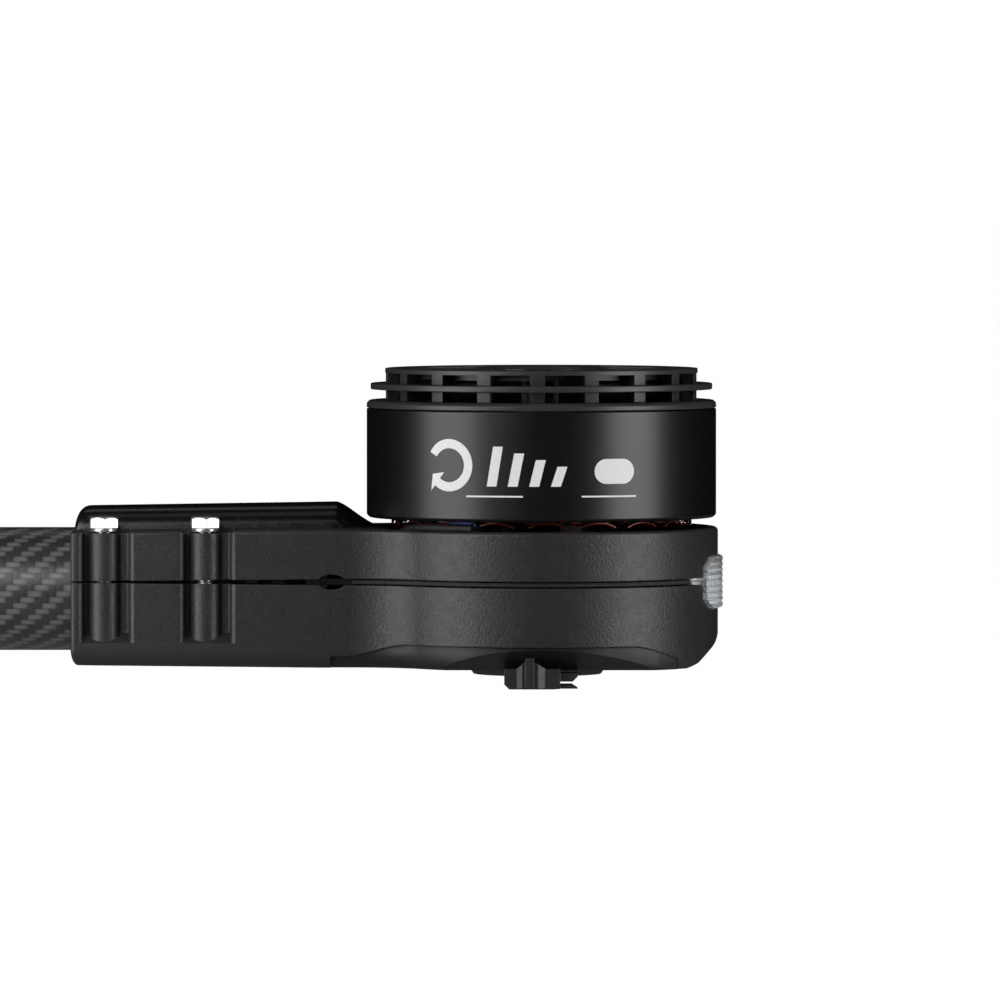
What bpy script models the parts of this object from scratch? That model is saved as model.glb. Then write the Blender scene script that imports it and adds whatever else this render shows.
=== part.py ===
"""Motor pod at the end of a multirotor's arm tube: clamp housing, speed controller, outrunner motor.

Metres, +Z up. The origin is the centre of the arm tube's cut end, and +X runs outboard along the tube.
The motor's axis is vertical. Run with blender --background --python part.py.
"""
import math

import bmesh
import bpy
from mathutils import Matrix, Vector

# ---- Driving dimensions ----------------------------------------------------------------------------
FIT = 0.0003                       # gap between pieces that touch

TUBE_RADIUS = 0.0150
TUBE_WALL = 0.0015
TUBE_LENGTH = 0.0860
MOUTH_X = 0.0300                   # where the clamp starts along the tube
BULKHEAD_END_X = 0.0920

MOTOR_X = 0.1440
POD_RADIUS = 0.04305
CLAMP_HALF_WIDTH = 0.0240
JUNCTION_RADIUS = 0.0240           # hollow arc between the clamp's side and the round motor end
HOUSING_WALL = 0.0025
DECK_Z = 0.0152
DECK_DROP = 0.0005                 # the deck falls by this much from DECK_LEVEL_X to the mouth
DECK_LEVEL_X = 0.0900
DECK_EDGE = 0.0010
BASE_Z = -0.0184
BASE_EDGE = 0.0044
MOUTH_SHARE = 0.4                  # how much of an edge's rounding there is at the mouth
BASE_LIFT = 0.0006                 # the base rises by this much from DECK_LEVEL_X to the mouth

SEAM_Z = 0.0025
SEAM_HALF_MOUTH = 0.00015
SEAM_HALF_CLAMP = 0.00072
SEAM_HALF_MOTOR = 0.00080
SEAM_CLAMP_X = 0.0910
SEAM_MOTOR_X = 0.0980
GASKET_INSET = 0.0009
GASKET_WIDTH = 0.0013

RECESS_RADIUS = 0.0408             # bay that the motor's foot stands in
FLOOR_TOP_Z = 0.0075
FLOOR_BOTTOM_Z = 0.0050

SPINE_HALF_WIDTH = 0.0135
SPINE_BASE_Z = 0.0100
SPINE_RIDGE_Z = 0.0202
SPINE_RISE = 0.0153                # ridge height gained per length along X
SPINE_NOSE = 0.0043
SPINE_SLOPE_X = 0.0940
SPINE_SLOPE_LENGTH = 0.0130

BOLT_XS = (0.0380, 0.0625)
BOLT_Y = 0.0193
BOLT_RADIUS = 0.0020
BOLT_HEX = 0.0067
BOLT_TOP_Z = 0.0182
BOLT_SEAT_Z = 0.0143
BOSS_RADIUS = 0.0041
POCKET_HALF_LENGTH = 0.0071
POCKET_OFFSET = 0.0006              # the pocket's middle from the bolt, along X
POCKET_DEPTH_Y = 0.0206            # inner face of the pocket, from the middle plane
POCKET_INNER_Z = -0.0098
POCKET_OUTER_Z = -0.0139
POCKET_OUTER_Y = 0.0260
RELIEF_DEPTH_Y = 0.0205            # how near the middle plane the slot's end holes reach
INSERT_RADIUS = 0.0030
INSERT_TOP_Z = 0.0016
INSERT_LENGTH = 0.0080

WINDOW_Z = -0.0125                 # lower edge of the housing's side wall
WINDOW_FLAT = (0.1115, 0.1655)
WINDOW_ENDS = (0.0960, 0.1860)     # where the wall's lower edge has come down to its feet
WINDOW_FEET = (-0.0155, BASE_Z)
COVER_ENDS = (0.0932, 0.1765)
COVER_INSET = 0.0012               # how far the cover stands behind the wall
COVER_FLUSH_X = (0.1600, 0.1740)   # over this stretch the cover comes out flush with the wall
COVER_FOOT_Y = 0.0322              # the cover's sides slant in to this half width

LAMP_RADIUS = 0.04425
LAMP_INNER_RADIUS = 0.0403
LAMP_Z = 0.00195
LAMP_HALF_HEIGHT = 0.00625
LAMP_RIBS = 6

PAD_X = 0.1430
PAD_RADIUS = 0.0166
PAD_THICKNESS = 0.0020
CLIP_XS = (0.1349, 0.1484)
CLIP_TIP_X = 0.1526
CLIP_FOOT_Z = -0.0227
CLIP_BACK_Y = 0.0290
CLIP_FRONT_Y = 0.0388
CLIP_CORNER = 0.0012

BELL_RADIUS = 0.0426
RING_BORE = 0.0404
RING_BOTTOM_Z = 0.01756
RING_TOP_Z = 0.04400
CAP_RADIUS = 0.0381
FIN_RADIUS = 0.04165
CAP_TOP_Z = 0.05385
POST_COUNT = 18
POST_WIDTH = 0.00345
POST_TURN = math.radians(-1.6)
VENT_COUNT = 9
BLADE_ENDS = (0.0150, 0.0360)      # from the motor's axis
BLADE_THICKNESS = 0.0014
BLADE_Z = (0.0450, 0.0516)
HUB_RADIUS = 0.0080
MAGNET_BORE = 0.0378
SHAFT_RADIUS = 0.0040
BEARING_RADIUS = 0.0095
STATOR_RADIUS = 0.0370
STATOR_BORE = 0.0119
TOOTH_COUNT = 18

FINE = 54                          # facets round the bell
MEDIUM = 30
SMALL = 12

# ---- Colours: base colour, roughness, metallic ------------------------------------------------------
FINISHES = {
    "carbon_fibre": ((0.030, 0.031, 0.034), 0.22, 0.0),
    "housing_black": ((0.018, 0.018, 0.019), 0.55, 0.0),
    "cover_black": ((0.016, 0.017, 0.018), 0.50, 0.4),
    "rubber_black": ((0.012, 0.012, 0.012), 0.80, 0.0),
    "bolt_steel": ((0.62, 0.63, 0.65), 0.22, 1.0),
    "bell_black": ((0.012, 0.012, 0.013), 0.32, 0.6),
    "bare_aluminium": ((0.55, 0.56, 0.58), 0.35, 1.0),
    "lamination": ((0.10, 0.10, 0.11), 0.50, 0.8),
    "enamelled_wire": ((0.35, 0.07, 0.03), 0.35, 0.3),
    "magnet_nickel": ((0.42, 0.42, 0.43), 0.30, 1.0),
    "lens_clear": ((0.80, 0.82, 0.84), 0.12, 0.0),
    "board_green": ((0.02, 0.10, 0.05), 0.45, 0.0),
    "thermal_grey": ((0.30, 0.33, 0.38), 0.75, 0.0),
    "capacitor_can": ((0.05, 0.05, 0.09), 0.35, 0.2),
    "lead_sheath": ((0.015, 0.015, 0.016), 0.60, 0.0),
    "clip_plastic": ((0.030, 0.030, 0.032), 0.50, 0.0),
}


# ---- Scene and helpers -------------------------------------------------------------------------------
def clear_scene():
    for old in list(bpy.data.objects):
        bpy.data.objects.remove(old, do_unlink=True)


def new_collection(name):
    collection = bpy.data.collections.new(name)
    bpy.context.scene.collection.children.link(collection)
    return collection


def make_material(name):
    colour, roughness, metallic = FINISHES[name]
    material = bpy.data.materials.new(name)
    material.use_nodes = True
    shader = material.node_tree.nodes["Principled BSDF"]
    shader.inputs["Base Color"].default_value = (*colour, 1.0)
    shader.inputs["Roughness"].default_value = roughness
    shader.inputs["Metallic"].default_value = metallic
    material.diffuse_color = (*colour, 1.0)
    return material


clear_scene()
PARTS = new_collection("motor_pod")
CUTTERS = new_collection("motor_pod_cutters")
MATERIALS = {name: make_material(name) for name in FINISHES}
ROTOR = bpy.data.objects.new("rotor_axis", None)
ROTOR.location = (MOTOR_X, 0.0, 0.0)
PARTS.objects.link(ROTOR)


def arc(centre_x, centre_y, radius, start, end, steps):
    """Points along an arc, both ends included; angles in degrees."""
    angles = [math.radians(start + (end - start) * i / steps) for i in range(steps + 1)]
    return [(centre_x + radius * math.cos(a), centre_y + radius * math.sin(a)) for a in angles]


def ease(amount):
    """Smooth step from 0 to 1."""
    amount = min(max(amount, 0.0), 1.0)
    return amount * amount * (3.0 - 2.0 * amount)


def new_piece(name, mesh, finish=None):
    """A part when it has a finish, else a hidden solid that others are cut with or joined to."""
    piece = bpy.data.objects.new(name, mesh)
    if finish is None:
        piece.hide_render = True
        piece.display_type = "WIRE"
        CUTTERS.objects.link(piece)
    else:
        mesh.materials.append(MATERIALS[finish])
        PARTS.objects.link(piece)
    return piece


def from_bmesh(name, bm, finish=None):
    bmesh.ops.recalc_face_normals(bm, faces=bm.faces)
    mesh = bpy.data.meshes.new(name)
    bm.to_mesh(mesh)
    bm.free()
    return new_piece(name, mesh, finish)


def smooth(piece, angle=30.0):
    piece.data.shade_smooth()
    piece.data.set_sharp_from_angle(angle=math.radians(angle))
    return piece


def on_rotor(piece):
    """Parent a piece to the empty on the motor's axis, leaving it where it is."""
    piece.parent = ROTOR
    piece.matrix_parent_inverse = Matrix.Translation(-ROTOR.location)
    return piece


def boolean(piece, other, operation):
    modifier = piece.modifiers.new(other.name, "BOOLEAN")
    modifier.operation = operation
    modifier.object = other


def cut(piece, *others):
    for other in others:
        boolean(piece, other, "DIFFERENCE")


def join(piece, *others):
    for other in others:
        boolean(piece, other, "UNION")


def keep_inside(piece, other):
    boolean(piece, other, "INTERSECT")


def box(name, low, high, finish=None):
    bm = bmesh.new()
    size = Vector(high) - Vector(low)
    middle = (Vector(high) + Vector(low)) / 2.0
    bmesh.ops.create_cube(bm, size=1.0, matrix=Matrix.Translation(middle) @ Matrix.Diagonal((*size, 1.0)))
    return from_bmesh(name, bm, finish)


def cylinder(name, radius, low_z, high_z, centre=(0.0, 0.0), segments=SMALL, finish=None, turn=0.0):
    bm = bmesh.new()
    place = Matrix.Translation((*centre, (low_z + high_z) / 2.0)) @ Matrix.Rotation(turn, 4, "Z")
    bmesh.ops.create_cone(
        bm, cap_ends=True, segments=segments, radius1=radius, radius2=radius, depth=high_z - low_z, matrix=place
    )
    return from_bmesh(name, bm, finish)


def prism(name, outline, low, high, finish=None, plane="XY"):
    """A flat outline given thickness. In plane XY it rises along Z, in XZ it runs along Y, in YZ along X."""
    order = {"XY": lambda u, v, w: (u, v, w), "XZ": lambda u, v, w: (u, w, v), "YZ": lambda u, v, w: (w, u, v)}
    place = order[plane]
    bm = bmesh.new()
    face = bm.faces.new([bm.verts.new(place(u, v, low)) for u, v in outline])
    grown = bmesh.ops.extrude_face_region(bm, geom=[face])
    raised = [item for item in grown["geom"] if isinstance(item, bmesh.types.BMVert)]
    bmesh.ops.translate(bm, verts=raised, vec=Vector(place(0.0, 0.0, high - low)))
    return from_bmesh(name, bm, finish)


def turned(name, profile, finish=None, segments=MEDIUM, centre=(MOTOR_X, 0.0), along_x=False):
    """A closed profile of (radius, height) points turned about the vertical, or about the tube's axis."""
    mesh = bpy.data.meshes.new(name)
    count = len(profile)
    edges = [(i, (i + 1) % count) for i in range(count)]
    mesh.from_pydata([(radius, 0.0, height) for radius, height in profile], edges, [])
    piece = new_piece(name, mesh, finish)
    screw = piece.modifiers.new("turn", "SCREW")
    screw.steps = segments
    screw.render_steps = segments
    screw.use_merge_vertices = True
    screw.merge_threshold = 0.00001
    screw.use_smooth_shade = True
    if along_x:
        piece.rotation_euler = (0.0, math.pi / 2.0, 0.0)
    else:
        piece.location = (*centre, 0.0)
    return piece


def ring_profile(inner, outer, low_z, high_z):
    """Cross-section of a plain ring."""
    return [(outer, high_z), (outer, low_z), (inner, low_z), (inner, high_z)]


def loft(name, rings, finish=None):
    """Closed rings of equal length joined in turn, with a face over each end."""
    bm = bmesh.new()
    rows = [[bm.verts.new(point) for point in ring] for ring in rings]
    count = len(rings[0])
    for near, far in zip(rows, rows[1:]):
        for i in range(count):
            j = (i + 1) % count
            bm.faces.new((near[i], near[j], far[j], far[i]))
    bm.faces.new(rows[0])
    bm.faces.new(rows[-1])
    return from_bmesh(name, bm, finish)


def pod_outline(inset=0.0, start_x=MOUTH_X, corner=0.0010):
    """Plan of the pod moved inwards by inset: flat clamp sides, two hollow arcs, round motor end."""
    hollow_y = CLAMP_HALF_WIDTH + JUNCTION_RADIUS
    hollow_x = MOTOR_X - math.sqrt((POD_RADIUS + JUNCTION_RADIUS) ** 2 - hollow_y ** 2)
    meeting = math.degrees(math.atan2(hollow_y, hollow_x - MOTOR_X))
    half = CLAMP_HALF_WIDTH - inset
    upper = arc(MOTOR_X, 0.0, POD_RADIUS - inset, 0.0, meeting, 27)
    upper += arc(hollow_x, hollow_y, JUNCTION_RADIUS + inset, meeting + 180.0, 270.0, 6)[1:]
    upper += arc(start_x + corner, half - corner, corner, 90.0, 180.0, 3)
    lower = [(x, -y) for x, y in reversed(upper[1:])]
    return upper + lower


def pod_solid(name, low_z, low_edge, high_z, high_edge, finish, steps=5):
    """The pod's plan given height, with its lower and upper edges rounded by the given radii."""
    levels = []
    if low_edge > 0.0:
        for i in range(steps):
            angle = math.pi / 2.0 * i / steps
            levels.append((low_z + low_edge * (1.0 - math.cos(angle)), low_edge * (1.0 - math.sin(angle))))
    levels.append((low_z + low_edge, 0.0))
    levels.append((high_z - high_edge, 0.0))
    if high_edge > 0.0:
        for i in range(steps):
            angle = math.pi / 2.0 * (i + 1) / steps
            levels.append((high_z - high_edge * (1.0 - math.sin(angle)), high_edge * (1.0 - math.cos(angle))))
    rings = []
    for height, inset in levels:
        ring = []
        for (x, y), (inner_x, inner_y) in zip(pod_outline(), pod_outline(inset, MOUTH_X + inset * MOUTH_SHARE)):
            share = edge_share(x) if height < 0.0 else 1.0
            ring.append((x + (inner_x - x) * share, y + (inner_y - y) * share, height))
        rings.append(ring)
    return loft(name, rings, finish)


def edge_share(x):
    """How much of the lower edge's rounding is left at x: all on the clamp, a quarter on the motor end."""
    return 1.0 - 0.75 * ease((x - 0.1080) / 0.0240)


# ---- Cutters shared by the two housings --------------------------------------------------------------
def seam_line(side):
    """The seam's edge in XZ, from mouth to tip: side 1 is the upper housing's, -1 the lower housing's."""
    return [
        (MOUTH_X - 0.001, SEAM_Z + side * SEAM_HALF_MOUTH),
        (SEAM_CLAMP_X, SEAM_Z + side * SEAM_HALF_CLAMP),
        (SEAM_MOTOR_X, SEAM_Z + side * SEAM_HALF_MOTOR),
        (MOTOR_X + 0.050, SEAM_Z + side * SEAM_HALF_MOTOR),
    ]


def beyond_seam(name, side):
    """Everything on the far side of the seam from one housing."""
    outline = seam_line(side)
    outline += [(MOTOR_X + 0.050, -side * 0.040), (MOUTH_X - 0.001, -side * 0.040)]
    return prism(name, outline, -0.060, 0.060, plane="XZ")


def relief_hole(side):
    """Blind lens-shaped hole that ends the clamp's slot on one side."""
    half_length = 0.00335
    half_height = 0.00185
    centre_x = 0.0932
    steps = 16
    angles = [math.tau * i / steps for i in range(steps)]
    outline = [(centre_x + half_length * math.cos(a), SEAM_Z + half_height * math.sin(a)) for a in angles]
    low_y, high_y = sorted((side * RELIEF_DEPTH_Y, side * 0.030))
    return prism(f"relief_hole_{side}", outline, low_y, high_y, plane="XZ")


def tube_bore():
    """Bore for the arm tube, stepped down to the grommet's seat in the bulkhead."""
    outer = TUBE_RADIUS + FIT
    seat = 0.0110
    profile = [
        (0.0, BULKHEAD_END_X + 0.001), (seat, BULKHEAD_END_X + 0.001), (seat, TUBE_LENGTH + FIT),
        (outer, TUBE_LENGTH + FIT), (outer, MOUTH_X - 0.005), (0.0, MOUTH_X - 0.005),
    ]
    return turned("tube_bore", profile, along_x=True, segments=60)


def bolt_pocket(name, x, side):
    """Hollow in the clamp's side round one bolt, leaving the bolt's half-round boss standing."""
    outline = [
        (side * POCKET_OUTER_Y, POCKET_OUTER_Z), (side * POCKET_DEPTH_Y, POCKET_INNER_Z),
        (side * POCKET_DEPTH_Y, 0.022), (side * POCKET_OUTER_Y, 0.022),
    ]
    middle = x + POCKET_OFFSET
    pocket = prism(name, outline, middle - POCKET_HALF_LENGTH, middle + POCKET_HALF_LENGTH, plane="YZ")
    cut(pocket, cylinder(name + "_boss", BOSS_RADIUS, -0.03, 0.03, (x, side * BOLT_Y), 32))
    return pocket


def bolt_seat(name, x, side):
    """Trough in the deck that the bolt's head stands in."""
    low_y, high_y = sorted((side * 0.0140, side * 0.0260))
    slope = 0.0015
    left_x = x + POCKET_OFFSET - POCKET_HALF_LENGTH
    right_x = x + POCKET_OFFSET + POCKET_HALF_LENGTH
    outline = [
        (left_x + slope, BOLT_SEAT_Z), (right_x - slope, BOLT_SEAT_Z), (right_x + slope, 0.0158),
        (left_x - slope, 0.0158),
    ]
    return prism(name, outline, low_y, high_y, plane="XZ")


def lamp_half_angle(height):
    """Half the lamp's width in degrees at a height from its middle: a small point at the seam, cut corners."""
    point = 0.0010
    corner = 0.0039
    if height < point:
        return 24.4 + 2.0 * (1.0 - height / point)
    if height < corner:
        return 24.4
    return 24.4 - 6.2 * (height - corner) / (LAMP_HALF_HEIGHT - corner)


def lamp_solid(name, levels, inner_radius, margin, finish=None):
    """Curved slab through levels of (offset from the lamp's middle, outer radius), bottom first."""
    rings = []
    for offset, outer_radius in levels:
        half = lamp_half_angle(min(abs(offset), LAMP_HALF_HEIGHT)) + margin
        outline = arc(MOTOR_X, 0.0, outer_radius, -half, half, 10)
        outline += arc(MOTOR_X, 0.0, inner_radius, half, -half, 10)
        rings.append([(x, y, LAMP_Z + offset) for x, y in outline])
    return loft(name, rings, finish)


def lamp_opening():
    offsets = (-LAMP_HALF_HEIGHT - FIT, -0.0039, -0.0010, 0.0, 0.0010, 0.0039, LAMP_HALF_HEIGHT + FIT)
    levels = [(offset, LAMP_RADIUS + 0.002) for offset in offsets]
    return lamp_solid("lamp_opening", levels, LAMP_INNER_RADIUS - FIT, 0.5)


# ---- Housings ------------------------------------------------------------------------------------------
def spine_height(x, across):
    """Top of the spine at x, where across runs from -1 to 1 over its width."""
    ridge = SPINE_RIDGE_Z + (x - MOUTH_X) * SPINE_RISE
    length = SPINE_SLOPE_LENGTH - 0.006 * across ** 2
    fall = max((x - SPINE_SLOPE_X + 0.0005 * across ** 2) / length, 0.0)
    foot = DECK_Z - 0.0003
    top = foot + (ridge - foot) * (1.0 - ease(fall ** 0.8))
    nose = max((MOUTH_X + FIT + SPINE_NOSE - x) / SPINE_NOSE, 0.0)
    return SPINE_BASE_Z + (top - SPINE_BASE_Z) * max(1.0 - nose ** 3, 0.0001) ** (1.0 / 3.0)


def spine_stations():
    """Places along X where the spine's section is set: close together at its nose and its slope."""
    nose_steps = 6
    slope_steps = 11
    nose = [MOUTH_X + FIT + SPINE_NOSE * (1.0 - math.cos(math.pi / 2.0 * i / nose_steps))
            for i in range(nose_steps + 1)]
    slope = [SPINE_SLOPE_X - 0.001 + (SPINE_SLOPE_LENGTH + 0.0005) * i / slope_steps
             for i in range(slope_steps + 1)]
    return nose + slope


def spine():
    """Raised back over the tube: steep flanks, rounded top edges, and a slope down to the motor."""
    steps = 14
    rings = []
    for x in spine_stations():
        ring = []
        for i in range(steps + 1):
            angle = math.pi * i / steps
            across = math.copysign(abs(math.cos(angle)) ** 0.5, math.cos(angle))
            rise = abs(math.sin(angle)) ** 0.5
            height = SPINE_BASE_Z + (spine_height(x, across) - SPINE_BASE_Z) * rise
            ring.append((x, SPINE_HALF_WIDTH * across, height))
        ring.append((x, -SPINE_HALF_WIDTH, SPINE_BASE_Z - 0.0005))
        ring.append((x, SPINE_HALF_WIDTH, SPINE_BASE_Z - 0.0005))
        rings.append(ring)
    return loft("spine", rings)


def tilt_end(piece, side, amount):
    """Moves the deck (side 1) or the base (side -1) inwards, by nothing at DECK_LEVEL_X and amount at the mouth."""
    bm = bmesh.new()
    bm.from_mesh(piece.data)
    everything = bm.verts[:] + bm.edges[:] + bm.faces[:]
    bmesh.ops.bisect_plane(bm, geom=everything, plane_co=(DECK_LEVEL_X, 0, 0), plane_no=(1, 0, 0))
    for vert in bm.verts:
        if vert.co.z * side > 0.0105 and vert.co.x < DECK_LEVEL_X:
            vert.co.z -= side * amount * (DECK_LEVEL_X - vert.co.x) / (DECK_LEVEL_X - MOUTH_X)
    bm.to_mesh(piece.data)
    bm.free()


def motor_bay():
    """Round bay in the top of the housing, open upwards."""
    return cylinder("motor_bay", RECESS_RADIUS, FLOOR_TOP_Z, 0.030, (MOTOR_X, 0.0), FINE)


def upper_cavity():
    """Room over the controller, under the motor bay's floor and under the deck."""
    room = prism("upper_cavity", pod_outline(HOUSING_WALL, BULKHEAD_END_X), -0.010, FLOOR_BOTTOM_Z)
    join(room, box("neck_room", (BULKHEAD_END_X, -0.018, -0.009), (0.1005, 0.018, 0.0125)))
    return room


def lead_slot():
    return box("lead_slot", (0.1066, -0.0115, 0.002), (0.1108, 0.0115, 0.010))


def motor_screw_places():
    angles = [math.radians(45.0 + 90.0 * i) for i in range(4)]
    return [(MOTOR_X + 0.025 * math.cos(a), 0.025 * math.sin(a)) for a in angles]


def bolt_places():
    return [(x, side) for x in BOLT_XS for side in (-1, 1)]


def make_upper_housing(shared):
    piece = pod_solid("upper_housing", -0.005, 0.0, DECK_Z, DECK_EDGE, "housing_black", 3)
    tilt_end(piece, 1, DECK_DROP)
    cut(piece, motor_bay())
    join(piece, spine())
    cut(piece, beyond_seam("below_seam", 1), upper_cavity(), lead_slot(), *shared)
    for i, (x, side) in enumerate(bolt_places()):
        cut(piece, bolt_seat(f"seat_{i}", x, side))
        cut(piece, cylinder(f"bolt_hole_{i}", BOLT_RADIUS + FIT, -0.02, 0.03, (x, side * BOLT_Y)))
    for i, place in enumerate(motor_screw_places()):
        cut(piece, cylinder(f"floor_hole_{i}", 0.0018, 0.003, 0.009, place, 16))
    return smooth(piece)


def window_edge(x):
    """Height of the wall's lower edge at x: level under the motor, eased down at both ends."""
    i = 0 if x < MOTOR_X else 1
    rise = ease((x - WINDOW_ENDS[i]) / (WINDOW_FLAT[i] - WINDOW_ENDS[i]))
    return WINDOW_FEET[i] + (WINDOW_Z - WINDOW_FEET[i]) * rise


def side_window(name, gap):
    """Everything below the wall's lower edge over the cover's length, drawn in by a gap all round."""
    steps = 8
    low_x = COVER_ENDS[0] - FIT + gap
    high_x = COVER_ENDS[1] + FIT - gap
    xs = [low_x + (WINDOW_FLAT[0] - low_x) * i / steps for i in range(steps + 1)]
    xs += [WINDOW_FLAT[1] + (high_x - WINDOW_FLAT[1]) * i / steps for i in range(steps + 1)]
    outline = [(x, window_edge(x) - gap) for x in xs]
    outline += [(high_x, BASE_Z - 0.002), (low_x, BASE_Z - 0.002)]
    return prism(name, outline, -0.060, 0.060, plane="XZ")


def tip_chamfer(name):
    """What is taken off the lower edge of the pod's tip, in side view, all the way across."""
    curve = [
        (0.0335, BASE_Z - 0.0002), (0.0362, -0.0180), (0.0380, -0.0172), (0.0416, -0.0136), (0.0427, -0.0118),
        (POD_RADIUS + 0.0004, -0.0100),
    ]
    outline = [(MOTOR_X + reach, height) for reach, height in curve]
    outline += [(MOTOR_X + 0.060, -0.0100), (MOTOR_X + 0.060, -0.0300), (MOTOR_X + 0.0335, -0.0300)]
    return prism(name, outline, -0.050, 0.050, plane="XZ")


def make_lower_housing(shared):
    piece = pod_solid("lower_housing", BASE_Z, BASE_EDGE, 0.010, 0.0, "housing_black")
    tilt_end(piece, -1, BASE_LIFT)
    cut(piece, beyond_seam("above_seam", -1), tip_chamfer("housing_tip"))
    room = prism("controller_room", pod_outline(HOUSING_WALL, BULKHEAD_END_X), WINDOW_Z - 0.001, 0.020)
    cut(piece, *shared, room, side_window("side_window", 0.0))
    for i, (x, side) in enumerate(bolt_places()):
        hole = INSERT_RADIUS + FIT
        bottom = INSERT_TOP_Z - INSERT_LENGTH - 0.0005
        cut(piece, cylinder(f"insert_hole_{i}", hole, bottom, 0.005, (x, side * BOLT_Y)))
    return smooth(piece)


def make_gaskets():
    """Two strips in the seam, from the clamp's slot to the lamp, one on each side."""
    for name, side in (("seam_gasket_right", -1), ("seam_gasket_left", 1)):
        low = SEAM_Z - SEAM_HALF_MOTOR + FIT
        high = SEAM_Z + SEAM_HALF_MOTOR - FIT
        piece = prism(name, pod_outline(GASKET_INSET), low, high, "rubber_black")
        cut(piece, prism(name + "_inside", pod_outline(GASKET_INSET + GASKET_WIDTH, 0.02), -0.01, 0.01))
        reach = RECESS_RADIUS * math.cos(math.radians(29.0))
        low_y, high_y = sorted((side * 0.005, side * 0.060))
        keep_inside(piece, box(name + "_reach", (SEAM_MOTOR_X, low_y, -0.02), (MOTOR_X + reach, high_y, 0.02)))
        smooth(piece)


# ---- Tube, clamp bolts, grommet ------------------------------------------------------------------------
def make_tube():
    bore = TUBE_RADIUS - TUBE_WALL
    turned("arm_tube", ring_profile(bore, TUBE_RADIUS, 0.0, TUBE_LENGTH), "carbon_fibre", 60, along_x=True)


def make_grommet():
    turned("cable_grommet", ring_profile(0.0055, 0.0107, TUBE_LENGTH + 2 * FIT, BULKHEAD_END_X - FIT),
           "rubber_black", MEDIUM, along_x=True)


def make_clamp_bolt(name, x, side):
    """Hex bolt: chamfered head on a round collar, and a shank down into its insert."""
    centre = (x, side * BOLT_Y)
    collar_top = BOLT_SEAT_Z + 0.0011
    circumradius = BOLT_HEX / math.sqrt(3.0)
    profile = [
        (0.0, BOLT_TOP_Z), (BOLT_HEX / 2.0 - 0.0002, BOLT_TOP_Z), (circumradius + 0.0001, BOLT_TOP_Z - 0.0005),
        (circumradius + 0.0001, collar_top), (0.0, collar_top),
    ]
    head = turned(name, profile, "bolt_steel", 24, centre)
    turn = math.radians(-5.5 * side)
    keep_inside(head, cylinder(name + "_hexagon", circumradius, 0.0, 0.030, centre, 6, turn=turn))
    neck = [
        (0.0, collar_top + 0.0003), (0.0029, collar_top + 0.0003), (0.0029, BOLT_SEAT_Z + FIT),
        (BOLT_RADIUS, BOLT_SEAT_Z + FIT), (BOLT_RADIUS, INSERT_TOP_Z - INSERT_LENGTH + 0.0010),
        (0.0, INSERT_TOP_Z - INSERT_LENGTH + 0.0010),
    ]
    join(head, turned(name + "_neck", neck, None, SMALL, centre))


def make_clamp_bolts():
    for i, (x, side) in enumerate(bolt_places()):
        make_clamp_bolt(f"clamp_bolt_{i + 1}", x, side)
        low = INSERT_TOP_Z - INSERT_LENGTH
        profile = ring_profile(BOLT_RADIUS + FIT, INSERT_RADIUS, low, INSERT_TOP_Z)
        turned(f"clamp_insert_{i + 1}", profile, "bare_aluminium", SMALL, (x, side * BOLT_Y))


# ---- Lamp ------------------------------------------------------------------------------------------------
def make_lens():
    """Clear lens with a row of level ribs standing proud of the housing's wall."""
    pitch = 2.0 * LAMP_HALF_HEIGHT / LAMP_RIBS
    valley = LAMP_RADIUS - 0.0006
    levels = []
    for i in range(LAMP_RIBS):
        foot = -LAMP_HALF_HEIGHT + i * pitch
        levels += [(foot, valley), (foot + 0.40 * pitch, LAMP_RADIUS), (foot + 0.55 * pitch, LAMP_RADIUS)]
    levels.append((LAMP_HALF_HEIGHT, valley))
    smooth(lamp_solid("lamp_lens", levels, LAMP_INNER_RADIUS, 0.0, "lens_clear"), 20.0)


def make_lamp_board():
    box("lamp_board", (0.1776, -0.0090, -0.0060), (0.1792, 0.0090, 0.0040), "board_green")


# ---- Controller -------------------------------------------------------------------------------------------
def cover_plan():
    """Plan of the cover: behind the wall along its sides, and flush with it towards the pod's tip."""
    start, end = COVER_FLUSH_X
    plan = []
    for (x, y), (inner_x, inner_y) in zip(pod_outline(), pod_outline(COVER_INSET)):
        behind = 1.0 - ease((x - start) / (end - start))
        plan.append((x + (inner_x - x) * behind, y + (inner_y - y) * behind))
    return plan


def cover_blank():
    """The cover's outside, its lower edge rounded like the housing's."""
    steps = 4
    rings = []
    for i in range(steps + 1):
        angle = math.pi / 2.0 * i / steps
        height = BASE_Z + BASE_EDGE * (1.0 - math.cos(angle))
        rounding = BASE_EDGE * (1.0 - math.sin(angle))
        rings.append([(x, y - math.copysign(min(rounding * edge_share(x), abs(y)), y), height)
                      for x, y in cover_plan()])
    rings.append([(x, y, WINDOW_Z + 0.001) for x, y in cover_plan()])
    return loft("controller_cover", rings, "cover_black")


def cover_slant():
    """Block with slanting sides that gives the cover its slant under the motor."""
    spread = POD_RADIUS - COVER_FOOT_Y
    rise = WINDOW_Z - BASE_Z
    half = [(COVER_FOOT_Y - spread, BASE_Z - rise), (POD_RADIUS + spread, WINDOW_Z + rise)]
    outline = half + [(-y, z) for y, z in reversed(half)]
    return prism("cover_slant", outline, MOUTH_X, MOTOR_X + 0.060, plane="YZ")


def cover_screw_places():
    return [(x, side * y) for x, y in ((0.1152, 0.0145), (0.1652, 0.0172)) for side in (-1, 1)]


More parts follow.
